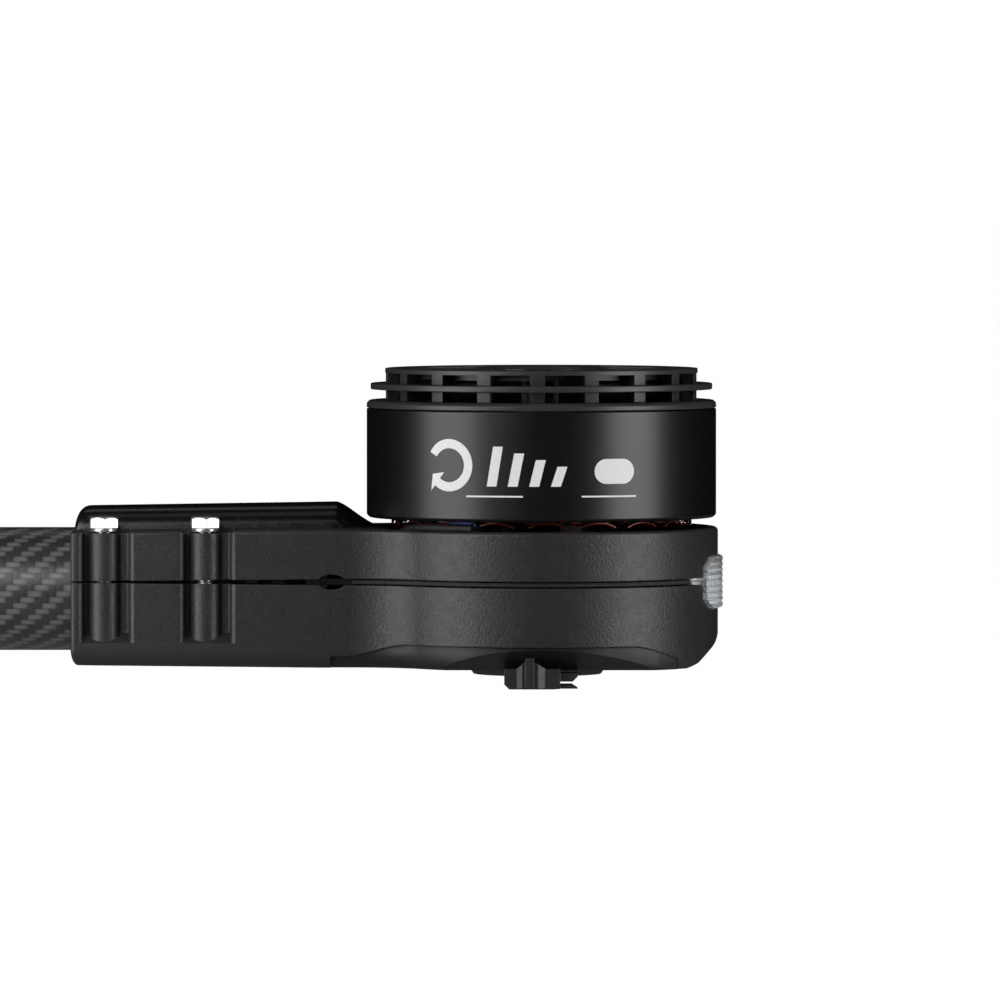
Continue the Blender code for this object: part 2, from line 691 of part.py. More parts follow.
def make_controller_cover():
    """Heat-sink cover with slanted sides, cooling grooves below and a raised seat for the board above."""
    piece = cover_blank()
    keep_inside(piece, cover_slant())
    keep_inside(piece, side_window("cover_window", FIT))
    cut(piece, tip_chamfer("cover_tip"))
    join(piece, box("board_seat", (0.1120, -0.0200, WINDOW_Z - 0.002), (0.1680, 0.0200, -0.0095)))
    groove_width = 0.0016
    groove_depth = 0.0018
    for i in range(3):
        for side in (-1, 1):
            middle = side * (0.0230 + 0.0030 * i)
            reach = 0.024 - 0.003 * i
            low = (MOTOR_X - reach, middle - groove_width / 2.0, BASE_Z - 0.001)
            high = (MOTOR_X + reach, middle + groove_width / 2.0, BASE_Z + groove_depth)
            cut(piece, box(f"groove_{i}_{side}", low, high))
    for i, place in enumerate(cover_screw_places()):
        cut(piece, cylinder(f"cover_hole_{i}", 0.0016, -0.03, 0.0, place, 16))
        cut(piece, cylinder(f"cover_sink_{i}", 0.0030, -0.03, BASE_Z + 0.0017, place, 16))


def make_socket_screw(name, place, head_z, direction, length, head_height=0.0014):
    """Cap screw with a hexagon socket; direction 1 has its head up, -1 has it down."""
    profile = [
        (0.0, head_height), (0.0026, head_height), (0.0026, 0.0),
        (0.00125, 0.0), (0.00125, -length), (0.0, -length),
    ]
    if direction < 0:
        profile = [(radius, -height) for radius, height in reversed(profile)]
    profile = [(radius, height + head_z) for radius, height in profile]
    screw = turned(name, profile, "bolt_steel", SMALL, place)
    far = head_z + direction * 0.003
    near = head_z + direction * 0.0005
    low, high = sorted((far, near))
    cut(screw, cylinder(name + "_socket", 0.0012, low, high, place, 6))


def make_cover_screws():
    for i, place in enumerate(cover_screw_places()):
        make_socket_screw(f"cover_screw_{i + 1}", place, BASE_Z + 0.0017 - FIT, -1, 0.0060)


def make_controller():
    box("thermal_pad", (0.1130, -0.0190, -0.0095 + FIT), (0.1670, 0.0190, -0.0080), "thermal_grey")
    board = box("controller_board", (0.1020, -0.0205, -0.0080 + FIT), (0.1700, 0.0205, -0.0061), "board_green")
    for i in range(3):
        chip = (0.124 + 0.014 * i, -0.010, -0.0065)
        join(board, box(f"chip_{i}", chip, (chip[0] + 0.009, 0.010, -0.0045)))
    for i, side in enumerate((-1, 1)):
        profile = [(0.0, 0.0126), (0.0044, 0.0126), (0.0049, 0.0121), (0.0049, -0.0004), (0.0, -0.0004)]
        can = turned(f"capacitor_{i + 1}", profile, "capacitor_can", SMALL, (0.0, 0.0))
        can.rotation_euler = (0.0, math.pi / 2.0, 0.0)
        can.location = (0.0935, side * 0.0068, -0.0006)


def make_lead(name, points):
    """Phase lead from the controller board up through the bay's floor to the windings."""
    curve = bpy.data.curves.new(name, "CURVE")
    curve.dimensions = "3D"
    curve.bevel_depth = 0.0012
    curve.bevel_resolution = 2
    curve.use_fill_caps = True
    spline = curve.splines.new("POLY")
    spline.points.add(len(points) - 1)
    for target, point in zip(spline.points, points):
        target.co = (*point, 1.0)
    curve.materials.append(MATERIALS["lead_sheath"])
    lead = bpy.data.objects.new(name, curve)
    PARTS.objects.link(lead)


def route(stops, per_stretch=3):
    """A smooth curve through the stops, read as points."""
    spots = [Vector(stop) for stop in stops]
    spots = [2 * spots[0] - spots[1], *spots, 2 * spots[-1] - spots[-2]]
    points = []
    for a, b, c, d in zip(spots, spots[1:], spots[2:], spots[3:]):
        for i in range(per_stretch):
            t = i / per_stretch
            points.append(0.5 * (2 * b + (c - a) * t + (2 * a - 5 * b + 4 * c - d) * t ** 2
                                 + (3 * b - a - 3 * c + d) * t ** 3))
    points.append(spots[-2])
    return points


def make_phase_leads():
    board_z = -0.0058
    for name, y in (("phase_lead_1", 0.0080), ("phase_lead_2", 0.0)):
        stops = [(0.1150, y, board_z + 0.0015), (0.1110, y, -0.0030), (0.1087, y, 0.0030),
                 (0.1087, y, 0.0090), (0.1092, y, 0.0135)]
        make_lead(name, route(stops))
    stops = [(0.1150, -0.0080, board_z + 0.0015), (0.1110, -0.0080, -0.0030), (0.1087, -0.0082, 0.0030),
             (0.1087, -0.0092, 0.0090), (0.1100, -0.0152, 0.0138), (0.1140, -0.0226, 0.0156),
             (0.1200, -0.0287, 0.0158), (0.1275, -0.0337, 0.0158)]
    make_lead("phase_lead_3", route(stops))


# ---- Nozzle fittings -----------------------------------------------------------------------------------------
def pad_screw_places():
    return [(PAD_X + side * 0.0110, 0.0) for side in (-1, 1)]


def make_nozzle_pad():
    """Round pad under the cover that a spray nozzle is screwed to."""
    top = BASE_Z - FIT
    bottom = top - PAD_THICKNESS
    chamfer = 0.0010
    profile = [
        (PAD_RADIUS, top), (PAD_RADIUS, top - 0.0005), (PAD_RADIUS - chamfer, bottom), (0.0040, bottom),
        (0.0040, top),
    ]
    piece = turned("nozzle_pad", profile, "clip_plastic", MEDIUM, (PAD_X, 0.0))
    for i, place in enumerate(pad_screw_places()):
        cut(piece, cylinder(f"pad_hole_{i}", 0.0016, -0.03, 0.0, place, 16))
        cut(piece, cylinder(f"pad_sink_{i}", 0.0030, -0.03, bottom + 0.0011, place, 16))
        make_socket_screw(f"pad_screw_{i + 1}", place, bottom + 0.0011 - FIT, -1, 0.0002, 0.0009)


def clip_shape(name, outline, low, high, side, plane, finish=None):
    """A prism of the clip: low and high are distances from the middle plane when it runs along Y."""
    if plane == "XZ":
        low, high = sorted((side * low, side * high))
    else:
        outline = [(x, side * y) if plane == "XY" else (side * x, y) for x, y in outline]
    return prism(name, outline, low, high, finish, plane)


def make_nozzle_clip(name, side):
    """Hose clip at the cover's edge: a ribbed block, and an upper plate and a tongue with a slot between."""
    low_x, high_x = CLIP_XS
    foot = CLIP_FOOT_Z
    top = BASE_Z - FIT
    front = CLIP_FRONT_Y
    corner = CLIP_CORNER
    piece = clip_shape(name, [
        (front, -0.0178), (0.0377, -0.0178), (0.0368, top), (CLIP_BACK_Y, top), (CLIP_BACK_Y, foot), (front, foot),
    ], low_x, high_x, side, "YZ", "clip_plastic")
    join(piece, clip_shape(name + "_plate", [
        (0.1440, top - 0.0002), (CLIP_TIP_X, top - 0.0002), (CLIP_TIP_X, -0.0197), (CLIP_TIP_X - 0.0012, -0.0209),
        (0.1440, -0.0209),
    ], CLIP_BACK_Y + 0.0002, 0.0370, side, "XZ"))
    join(piece, clip_shape(name + "_tongue", [
        (0.1440, -0.0217), (CLIP_TIP_X - 0.0014, -0.0217), (CLIP_TIP_X, foot + 0.0001), (0.1440, foot + 0.0001),
    ], CLIP_BACK_Y + 0.0002, 0.0370, side, "XZ"))
    raised = clip_shape(name + "_raised", [
        (0.1378, foot + 0.0002), (0.1378, -0.0178), (0.1398, -0.0162), (0.1424, -0.0162), (0.1450, -0.0178),
        (0.1450, foot + 0.0002),
    ], 0.0379, 0.0410, side, "XZ")
    keep_inside(raised, clip_shape(name + "_plan", [
        (0.1377, 0.0375), (0.1377, front - 0.0002), (0.1392, 0.0398), (0.1430, 0.0398), (0.1451, front - 0.0002),
        (0.1451, 0.0375),
    ], -0.030, 0.0, side, "XY"))
    rib = clip_shape(name + "_rib", [
        (0.0404, -0.0151), (0.0398, -0.0151), (0.0385, -0.0163), (0.0385, foot + 0.0004), (0.0404, foot + 0.0004),
    ], 0.1400, 0.1421, side, "YZ")
    join(piece, raised, rib)
    left = [(low_x - 0.001, foot - 0.001), (low_x + corner, foot - 0.001), (low_x + corner, foot),
            (low_x, foot + corner), (low_x - 0.001, foot + corner)]
    right = [(high_x + 0.001, foot - 0.001), (high_x - corner, foot - 0.001), (high_x - corner, foot),
             (high_x, foot + corner), (high_x + 0.001, foot + corner)]
    cut(piece, clip_shape(name + "_left_corner", left, CLIP_BACK_Y - 0.001, front + 0.001, side, "XZ"))
    cut(piece, clip_shape(name + "_right_corner", right, 0.0371, front + 0.001, side, "XZ"))


# ---- Motor ------------------------------------------------------------------------------------------------------
def make_motor_base():
    """Motor foot with the bearing tube: a seat for a bearing at each end, a shoulder between them."""
    seat = BEARING_RADIUS + FIT
    tube = STATOR_BORE - FIT
    profile = [
        (tube, 0.0400), (tube, 0.0196), (0.0140, 0.0180), (0.0150, 0.0112), (0.0330, 0.0103), (0.0330, 0.0078),
        (0.0080, 0.0078), (0.0080, 0.0120 - FIT), (seat, 0.0120 - FIT), (seat, 0.0180 + FIT),
        (0.0080, 0.0180 + FIT), (0.0080, 0.0340 - FIT), (seat, 0.0340 - FIT), (seat, 0.0400),
    ]
    piece = turned("motor_base", profile, "bell_black", MEDIUM)
    for i, place in enumerate(motor_screw_places()):
        cut(piece, cylinder(f"foot_hole_{i}", 0.0018, 0.0, 0.012, place, 16))
    for i in range(4):
        angle = math.pi / 2.0 * i
        place = (MOTOR_X + 0.0225 * math.cos(angle), 0.0225 * math.sin(angle))
        cut(piece, cylinder(f"foot_window_{i}", 0.0055, 0.0, 0.015, place, SMALL))


def make_motor_screws():
    for i, place in enumerate(motor_screw_places()):
        make_socket_screw(f"motor_screw_{i + 1}", place, 0.0112, 1, 0.0056)


def make_bearing(name, low_z):
    profile = ring_profile(SHAFT_RADIUS + FIT, BEARING_RADIUS, low_z, low_z + 0.0060)
    turned(name, profile, "bare_aluminium")


def tooth_angles():
    return [math.tau * i / TOOTH_COUNT for i in range(TOOTH_COUNT)]


def slot_boxes(name, inner, outer, width, low_z, high_z):
    """One straight-sided bar for each slot, all in one hidden solid."""
    bm = bmesh.new()
    size = Vector((outer - inner, width, high_z - low_z))
    for angle in tooth_angles():
        place = Matrix.Translation((MOTOR_X, 0.0, (low_z + high_z) / 2.0)) @ Matrix.Rotation(angle, 4, "Z")
        place = place @ Matrix.Translation(((inner + outer) / 2.0, 0.0, 0.0)) @ Matrix.Diagonal((*size, 1.0))
        bmesh.ops.create_cube(bm, size=1.0, matrix=place)
    return from_bmesh(name, bm)


def make_stator():
    """Laminated core with straight slots, and the windings that fill them and stand out at both ends."""
    low_z = 0.0200
    high_z = 0.0380
    core = turned("stator_core", ring_profile(STATOR_BORE, STATOR_RADIUS, low_z, high_z), "lamination", FINE)
    cut(core, slot_boxes("slots", 0.0200, 0.0355, 0.0036, low_z - 0.001, high_z + 0.001))
    cut(core, slot_boxes("slot_mouths", 0.0350, 0.0380, 0.0012, low_z - 0.001, high_z + 0.001))
    lower = [(0.0358, low_z - FIT), (0.0358, 0.0162), (0.0340, 0.0153), (0.0235, 0.0153), (0.0215, low_z - FIT)]
    upper = [(0.0340, 0.0418), (0.0358, 0.0405), (0.0358, high_z + FIT), (0.0215, high_z + FIT), (0.0235, 0.0418)]
    windings = turned("windings", lower, "enamelled_wire", MEDIUM)
    upper_ring = turned("upper_end_turns", upper, None, MEDIUM)
    join(windings, slot_boxes("slot_wires", 0.0218, 0.0349, 0.0030, 0.0175, 0.0400), upper_ring)


def make_shaft():
    shaft = cylinder("shaft", SHAFT_RADIUS, 0.0092, 0.0500, (MOTOR_X, 0.0), 32, "bolt_steel")
    on_rotor(smooth(shaft))
    clip = turned("shaft_ring", ring_profile(SHAFT_RADIUS + FIT, 0.0062, 0.0098, 0.0110), "bolt_steel", SMALL)
    on_rotor(clip)


def make_flux_ring():
    edge = 0.0007
    profile = [
        (BELL_RADIUS, RING_TOP_Z), (BELL_RADIUS, RING_BOTTOM_Z + edge), (BELL_RADIUS - edge, RING_BOTTOM_Z),
        (RING_BORE, RING_BOTTOM_Z), (RING_BORE, RING_TOP_Z),
    ]
    on_rotor(turned("flux_ring", profile, "bell_black", FINE))
    magnets = ring_profile(MAGNET_BORE, RING_BORE - FIT, 0.0190, 0.0420)
    on_rotor(turned("magnet_ring", magnets, "magnet_nickel", MEDIUM))


def window_wedges(name, low_z, high_z):
    """The openings of one row of the cap's cooling windows, in one hidden solid."""
    bm = bmesh.new()
    pitch = math.tau / POST_COUNT
    inner = 0.0330
    outer = 0.0395
    half_gap = (math.tau * CAP_RADIUS / POST_COUNT - POST_WIDTH) / 2.0
    size = Vector((outer - inner, 2.0 * half_gap, high_z - low_z))
    for i in range(POST_COUNT):
        angle = -math.pi / 2.0 + POST_TURN + pitch * (i + 0.5)
        place = Matrix.Translation((MOTOR_X, 0.0, (low_z + high_z) / 2.0)) @ Matrix.Rotation(angle, 4, "Z")
        place = place @ Matrix.Translation(((inner + outer) / 2.0, 0.0, 0.0)) @ Matrix.Diagonal((*size, 1.0))
        bmesh.ops.create_cube(bm, size=1.0, matrix=place)
    return from_bmesh(name, bm)


def vent(name, angle):
    """One kidney-shaped vent in the cap's top, centred on the given angle."""
    half = 13.5
    middle = math.degrees(angle)
    outline = arc(MOTOR_X, 0.0, 0.0305, middle - half, middle + half, 6)
    outline += arc(MOTOR_X, 0.0, 0.0165, middle + half - 3.0, middle - half + 3.0, 4)
    return prism(name, outline, 0.0480, 0.0560)


def cap_screw_places():
    angles = [math.radians(45.0 + 90.0 * i) for i in range(4)]
    return [(MOTOR_X + 0.0125 * math.cos(a), 0.0125 * math.sin(a)) for a in angles]


def fan_blades():
    """Radial blades under the cap's top, one behind each post."""
    bm = bmesh.new()
    size = Vector((BLADE_ENDS[1] - BLADE_ENDS[0], BLADE_THICKNESS, BLADE_Z[1] - BLADE_Z[0]))
    for i in range(POST_COUNT):
        angle = -math.pi / 2.0 + POST_TURN + math.tau * i / POST_COUNT
        place = Matrix.Translation((MOTOR_X, 0.0, sum(BLADE_Z) / 2.0)) @ Matrix.Rotation(angle, 4, "Z")
        place = place @ Matrix.Translation((sum(BLADE_ENDS) / 2.0, 0.0, 0.0)) @ Matrix.Diagonal((*size, 1.0))
        bmesh.ops.create_cube(bm, size=1.0, matrix=place)
    return from_bmesh("fan_blades", bm)


def make_bell_cap():
    """Bell cap: flange, two rows of windows with a fin ring between, vented top, hub for the shaft."""
    edge = 0.0007
    top = CAP_TOP_Z
    bottom = RING_TOP_Z + 0.00025
    profile = [
        (0.0, top), (CAP_RADIUS, top), (CAP_RADIUS, 0.0502), (FIN_RADIUS, 0.0502), (FIN_RADIUS, 0.0487),
        (CAP_RADIUS, 0.0487), (CAP_RADIUS, 0.0461), (BELL_RADIUS - edge, 0.0461), (BELL_RADIUS, 0.0461 - edge),
        (BELL_RADIUS, bottom), (0.0352, bottom), (0.0352, 0.0513), (HUB_RADIUS, 0.0513), (HUB_RADIUS, 0.0412),
        (SHAFT_RADIUS + FIT, 0.0412), (SHAFT_RADIUS + FIT, 0.0503), (0.0, 0.0503),
    ]
    piece = turned("bell_cap", profile, "bell_black", FINE)
    cut(piece, window_wedges("lower_windows", 0.0461, 0.0487), window_wedges("upper_windows", 0.0502, 0.0527))
    for i in range(VENT_COUNT):
        angle = -math.pi / 2.0 + POST_TURN + math.tau * (i + 0.5) / VENT_COUNT
        cut(piece, vent(f"vent_{i}", angle))
    for i, place in enumerate(cap_screw_places()):
        cut(piece, cylinder(f"propeller_hole_{i}", 0.0015, 0.0480, 0.0560, place, 16))
    join(piece, fan_blades())
    on_rotor(piece)


# ---- Assembly -----------------------------------------------------------------------------------------------------
def build():
    shared = [relief_hole(-1), relief_hole(1), tube_bore(), lamp_opening()]
    shared += [bolt_pocket(f"pocket_{i}", x, side) for i, (x, side) in enumerate(bolt_places())]
    make_tube()
    make_upper_housing(shared)
    make_lower_housing(shared)
    make_gaskets()
    make_grommet()
    make_clamp_bolts()
    make_lens()
    make_lamp_board()
    make_controller_cover()
    make_cover_screws()
    make_controller()
    make_phase_leads()
    make_nozzle_pad()
    make_nozzle_clip("nozzle_clip_right", -1)
    make_nozzle_clip("nozzle_clip_left", 1)
    make_motor_base()
    make_motor_screws()
    make_bearing("lower_bearing", 0.0120)
    make_bearing("upper_bearing", 0.0340)
    make_stator()
    make_shaft()
    make_flux_ring()
    make_bell_cap()


build()
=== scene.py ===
"""Looks of the motor pod: fine meshes, procedural materials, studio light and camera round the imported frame.

Metres, +Z up. +X runs outboard along the arm tube, and the camera looks along +Y.
"""
import math
import random

import bmesh
import bpy
from mathutils import Matrix, Vector


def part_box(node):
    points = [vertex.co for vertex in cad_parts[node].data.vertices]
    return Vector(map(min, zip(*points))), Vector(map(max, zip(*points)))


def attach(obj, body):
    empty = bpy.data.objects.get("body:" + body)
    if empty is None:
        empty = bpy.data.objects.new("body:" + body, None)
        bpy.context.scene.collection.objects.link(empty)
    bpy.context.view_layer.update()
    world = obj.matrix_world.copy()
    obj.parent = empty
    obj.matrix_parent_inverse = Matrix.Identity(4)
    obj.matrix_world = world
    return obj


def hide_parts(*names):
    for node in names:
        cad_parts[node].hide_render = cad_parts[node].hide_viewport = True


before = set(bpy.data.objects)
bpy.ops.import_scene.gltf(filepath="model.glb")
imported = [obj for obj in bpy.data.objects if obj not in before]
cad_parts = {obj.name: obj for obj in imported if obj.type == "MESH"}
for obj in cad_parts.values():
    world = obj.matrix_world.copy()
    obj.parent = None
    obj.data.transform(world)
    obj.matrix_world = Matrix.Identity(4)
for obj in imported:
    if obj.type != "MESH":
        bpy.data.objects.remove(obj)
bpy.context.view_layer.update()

# ---- Dimensions read from the frame --------------------------------------------------------------------
RING_LOW, RING_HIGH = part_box("flux_ring")
CAP_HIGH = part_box("bell_cap")[1]
TUBE_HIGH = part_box("arm_tube")[1]
MOTOR_X = (RING_LOW.x + RING_HIGH.x) / 2.0
BELL_RADIUS = (RING_HIGH.x - RING_LOW.x) / 2.0
TUBE_LENGTH = TUBE_HIGH.x
TUBE_RADIUS = TUBE_HIGH.z

# ---- Dimensions of the housings, as in the model -------------------------------------------------------
FIT = 0.0003
OVERSHOOT = 0.001                  # how far a cutting solid stands out of what it cuts
BESIDE = 0.060                     # a place well beyond the pod's sides
COVER_GAP = 0.00008                # between the cover and the wall's lower edge
TUBE_WALL = 0.0015
MOUTH_X = 0.0300
BULKHEAD_END_X = 0.0920
POD_RADIUS = 0.04305
CLAMP_HALF_WIDTH = 0.0240
JUNCTION_RADIUS = 0.0240
HOUSING_WALL = 0.0025
DECK_Z = 0.0152
DECK_DROP = 0.0005
DECK_LEVEL_X = 0.0900
DECK_EDGE = 0.0010
BASE_Z = -0.0184
BASE_EDGE = 0.0044
EDGE_FADE = 0.75                   # the lower edge's rounding loses this share towards the motor end
EDGE_FADE_X = 0.1080
EDGE_FADE_LENGTH = 0.0240
MOUTH_SHARE = 0.4                  # how much of an edge's rounding there is at the mouth
BASE_LIFT = 0.0006                 # the base rises by this much from DECK_LEVEL_X to the mouth
SEAM_Z = 0.0025
SEAM_HALF_MOUTH = 0.00015
SEAM_HALF_CLAMP = 0.00072
SEAM_HALF_MOTOR = 0.00080
SEAM_CLAMP_X = 0.0910
SEAM_MOTOR_X = 0.0980
RECESS_RADIUS = 0.0408
FLOOR_TOP_Z = 0.0075
FLOOR_BOTTOM_Z = 0.0050
SPINE_HALF_WIDTH = 0.0135
SPINE_BASE_Z = 0.0100
SPINE_RIDGE_Z = 0.0202
SPINE_RISE = 0.0153
SPINE_NOSE = 0.0043
SPINE_SLOPE_X = 0.0940
SPINE_SLOPE_LENGTH = 0.0130
BOLT_XS = (0.0380, 0.0625)
BOLT_Y = 0.0193
BOLT_RADIUS = 0.0020
BOLT_HEX = 0.0067
BOLT_TOP_Z = 0.0182
BOLT_SEAT_Z = 0.0143
BOSS_RADIUS = 0.0041
POCKET_HALF_LENGTH = 0.0071
POCKET_OFFSET = 0.0006              # the pocket's middle from the bolt, along X
POCKET_DEPTH_Y = 0.0206
POCKET_INNER_Z = -0.0098
POCKET_SLOPE = 0.76
POCKET_LIP = 0.0015
POCKET_FILLET = 0.0006
INSERT_RADIUS = 0.0030
INSERT_TOP_Z = 0.0016
INSERT_LENGTH = 0.0080
RELIEF_DEPTH_Y = 0.0205
RELIEF_X = 0.0932
RELIEF_HALF_LENGTH = 0.00335
RELIEF_HALF_HEIGHT = 0.00185
WINDOW_Z = -0.0125
WINDOW_FLAT = (0.1115, 0.1655)
WINDOW_ENDS = (0.0960, 0.1860)     # where the wall's lower edge has come down to its feet
WINDOW_FEET = (-0.0155, BASE_Z)
COVER_ENDS = (0.0932, 0.1765)
COVER_INSET = 0.0012               # how far the cover stands behind the wall
COVER_FLUSH_X = (0.1600, 0.1740)   # over this stretch the cover comes out flush with the wall
COVER_FOOT_Y = 0.0322              # the cover's sides slant in to this half width
LAMP_RADIUS = 0.04425
LAMP_INNER_RADIUS = 0.0403
LAMP_Z = 0.00195
LAMP_HALF_HEIGHT = 0.00625
LAMP_HALF_ANGLE = 24.4             # degrees
LAMP_POINT_HEIGHT = 0.0010         # the small point at the seam
LAMP_POINT_ANGLE = 1.0
LAMP_CORNER_HEIGHT = 0.0039        # where the cut corners start
LAMP_CORNER_ANGLE = 6.2
LAMP_RIBS = 9
RIB_DEPTH = 0.0005

# ---- Dimensions of the motor, as in the model ----------------------------------------------------------
RING_BORE = 0.0404
CAP_RADIUS = 0.0381
FIN_RADIUS = 0.04165
FIN_Z = (0.0487, 0.0502)
FLANGE_TOP_Z = 0.0461
CAP_WINDOW_TOP_Z = 0.0527
CAP_PLATE_Z = 0.0513
POST_COUNT = 18
POST_WIDTH = 0.00345
POST_TURN = math.radians(-1.6)
VENT_COUNT = 9
HUB_RADIUS = 0.0080
HUB_BOTTOM_Z = 0.0412
SHAFT_RADIUS = 0.0040
TOOTH_COUNT = 18
CORE_Z = (0.0200, 0.0380)
BLADE_ENDS = (0.0150, 0.0360)
BLADE_THICKNESS = 0.0014
BLADE_Z = (0.0450, 0.0516)

ROUND = 192                        # facets round the bell
WELD = 0.000001                    # points nearer than this are one


# ---- Mesh helpers --------------------------------------------------------------------------------------
def arc(centre_x, centre_y, radius, start, end, steps):
    """Points along an arc, both ends included; angles in degrees."""
    angles = [math.radians(start + (end - start) * i / steps) for i in range(steps + 1)]
    return [(centre_x + radius * math.cos(a), centre_y + radius * math.sin(a)) for a in angles]


def ease(amount):
    """Smooth step from 0 to 1."""
    amount = min(max(amount, 0.0), 1.0)
    return amount * amount * (3.0 - 2.0 * amount)


def capsule(left, right, low, high):
    """A bar with round ends."""
    radius = (high - low) / 2.0
    middle = (high + low) / 2.0
    return (arc(left + radius, middle, radius, 90.0, 270.0, 16)
            + arc(right - radius, middle, radius, -90.0, 90.0, 16))


def rounded(outline, radius, steps=4):
    """A closed outline with each corner turned into a short curve."""
    points = []
    count = len(outline)
    for i in range(count):
        before, corner, after = (Vector(outline[(i + k) % count]) for k in (-1, 0, 1))
        reach_in = min(radius, (before - corner).length * 0.45)
        reach_out = min(radius, (after - corner).length * 0.45)
        start = corner + (before - corner).normalized() * reach_in
        end = corner + (after - corner).normalized() * reach_out
        for k in range(steps + 1):
            t = k / steps
            point = start * (1 - t) ** 2 + corner * 2 * t * (1 - t) + end * t ** 2
            points.append(tuple(point))
    return points


def from_bmesh(name, bm):
    bmesh.ops.recalc_face_normals(bm, faces=bm.faces)
    mesh = bpy.data.meshes.new(name)
    bm.to_mesh(mesh)
    bm.free()
    piece = bpy.data.objects.new(name, mesh)
    bpy.context.scene.collection.objects.link(piece)
    return piece


def smooth(piece, angle=30.0):
    """Smooth shading that keeps edges over the angle, with large faces kept flat."""
    piece.data.shade_smooth()
    piece.data.set_sharp_from_angle(angle=math.radians(angle))
    weighted = piece.modifiers.new("normals", "WEIGHTED_NORMAL")
    weighted.keep_sharp = True
    return piece


def boolean(piece, operation, others):
    for other in others:
        modifier = piece.modifiers.new(other.name, "BOOLEAN")
        modifier.operation = operation
        modifier.object = other


def cut(piece, *others):
    boolean(piece, "DIFFERENCE", others)


def join(piece, *others):
    boolean(piece, "UNION", others)


def keep_inside(piece, other):
    boolean(piece, "INTERSECT", (other,))


def settle(piece):
    """Applies a piece's modifiers and removes the solids it was cut with or joined to."""
    depsgraph = bpy.context.evaluated_depsgraph_get()
    mesh = bpy.data.meshes.new_from_object(piece.evaluated_get(depsgraph))
    waiting = [m.object for m in piece.modifiers if m.type == "BOOLEAN"]
    piece.modifiers.clear()
    piece.data = mesh
    while waiting:
        used = waiting.pop()
        waiting += [m.object for m in used.modifiers if m.type == "BOOLEAN"]
        bpy.data.objects.remove(used, do_unlink=True)
    bm = bmesh.new()
    bm.from_mesh(mesh)
    bmesh.ops.remove_doubles(bm, verts=bm.verts, dist=WELD)
    bmesh.ops.dissolve_degenerate(bm, edges=bm.edges, dist=WELD)
    bm.to_mesh(mesh)
    bm.free()
    mesh.materials.clear()
    return piece


def box(name, low, high):
    bm = bmesh.new()
    size = Vector(high) - Vector(low)
    middle = (Vector(high) + Vector(low)) / 2.0
    bmesh.ops.create_cube(bm, size=1.0, matrix=Matrix.Translation(middle) @ Matrix.Diagonal((*size, 1.0)))
    return from_bmesh(name, bm)


def cylinder(name, radius, low_z, high_z, centre, segments=32, turn=0.0):
    bm = bmesh.new()
    place = Matrix.Translation((*centre, (low_z + high_z) / 2.0)) @ Matrix.Rotation(turn, 4, "Z")
    bmesh.ops.create_cone(bm, cap_ends=True, segments=segments, radius1=radius, radius2=radius,
                          depth=high_z - low_z, matrix=place)
    return from_bmesh(name, bm)


def placed(plane, u, v, w):
    """A point of a flat outline, w along the direction that the plane faces."""
    return {"XY": (u, v, w), "XZ": (u, w, v), "YZ": (w, u, v)}[plane]


def prism(name, outline, low, high, plane="XY"):
    """A flat outline given thickness. In plane XY it rises along Z, in XZ it runs along Y, in YZ along X."""
    bm = bmesh.new()
    face = bm.faces.new([bm.verts.new(placed(plane, u, v, low)) for u, v in outline])
    grown = bmesh.ops.extrude_face_region(bm, geom=[face])
    raised = [item for item in grown["geom"] if isinstance(item, bmesh.types.BMVert)]
    bmesh.ops.translate(bm, verts=raised, vec=Vector(placed(plane, 0.0, 0.0, high - low)))
    return from_bmesh(name, bm)


def turned(name, profile, segments=ROUND, centre=None, along_x=False):
    """A closed profile of (radius, height) points turned about the motor's axis, or about the tube's."""
    bm = bmesh.new()
    if centre is None:
        centre = (MOTOR_X, 0.0)
    rows = []
    for radius, height in profile:
        if radius < 1e-7:
            spot = (height, 0.0, 0.0) if along_x else (*centre, height)
            rows.append([bm.verts.new(spot)])
            continue
        row = []
        for i in range(segments):
            angle = math.tau * i / segments
            across, up = radius * math.cos(angle), radius * math.sin(angle)
            spot = (height, across, up) if along_x else (centre[0] + across, centre[1] + up, height)
            row.append(bm.verts.new(spot))
        rows.append(row)
    for near, far in zip(rows, rows[1:] + rows[:1]):
        if len(near) == 1 and len(far) == 1:
            continue
        for i in range(segments):
            j = (i + 1) % segments
            corners = [near[i % len(near)], near[j % len(near)], far[j % len(far)], far[i % len(far)]]
            bm.faces.new(list(dict.fromkeys(corners)))
    return from_bmesh(name, bm)


def ring_profile(inner, outer, low_z, high_z):
    """Cross-section of a plain ring."""
    return [(outer, high_z), (outer, low_z), (inner, low_z), (inner, high_z)]


def loft(name, rings):
    """Closed rings of equal length joined in turn, with a face over each end."""
    bm = bmesh.new()
    rows = [[bm.verts.new(point) for point in ring] for ring in rings]
    count = len(rings[0])
    for near, far in zip(rows, rows[1:]):
        for i in range(count):
            j = (i + 1) % count
            bm.faces.new((near[i], near[j], far[j], far[i]))
    bm.faces.new(rows[0])
    bm.faces.new(rows[-1])
    return from_bmesh(name, bm)


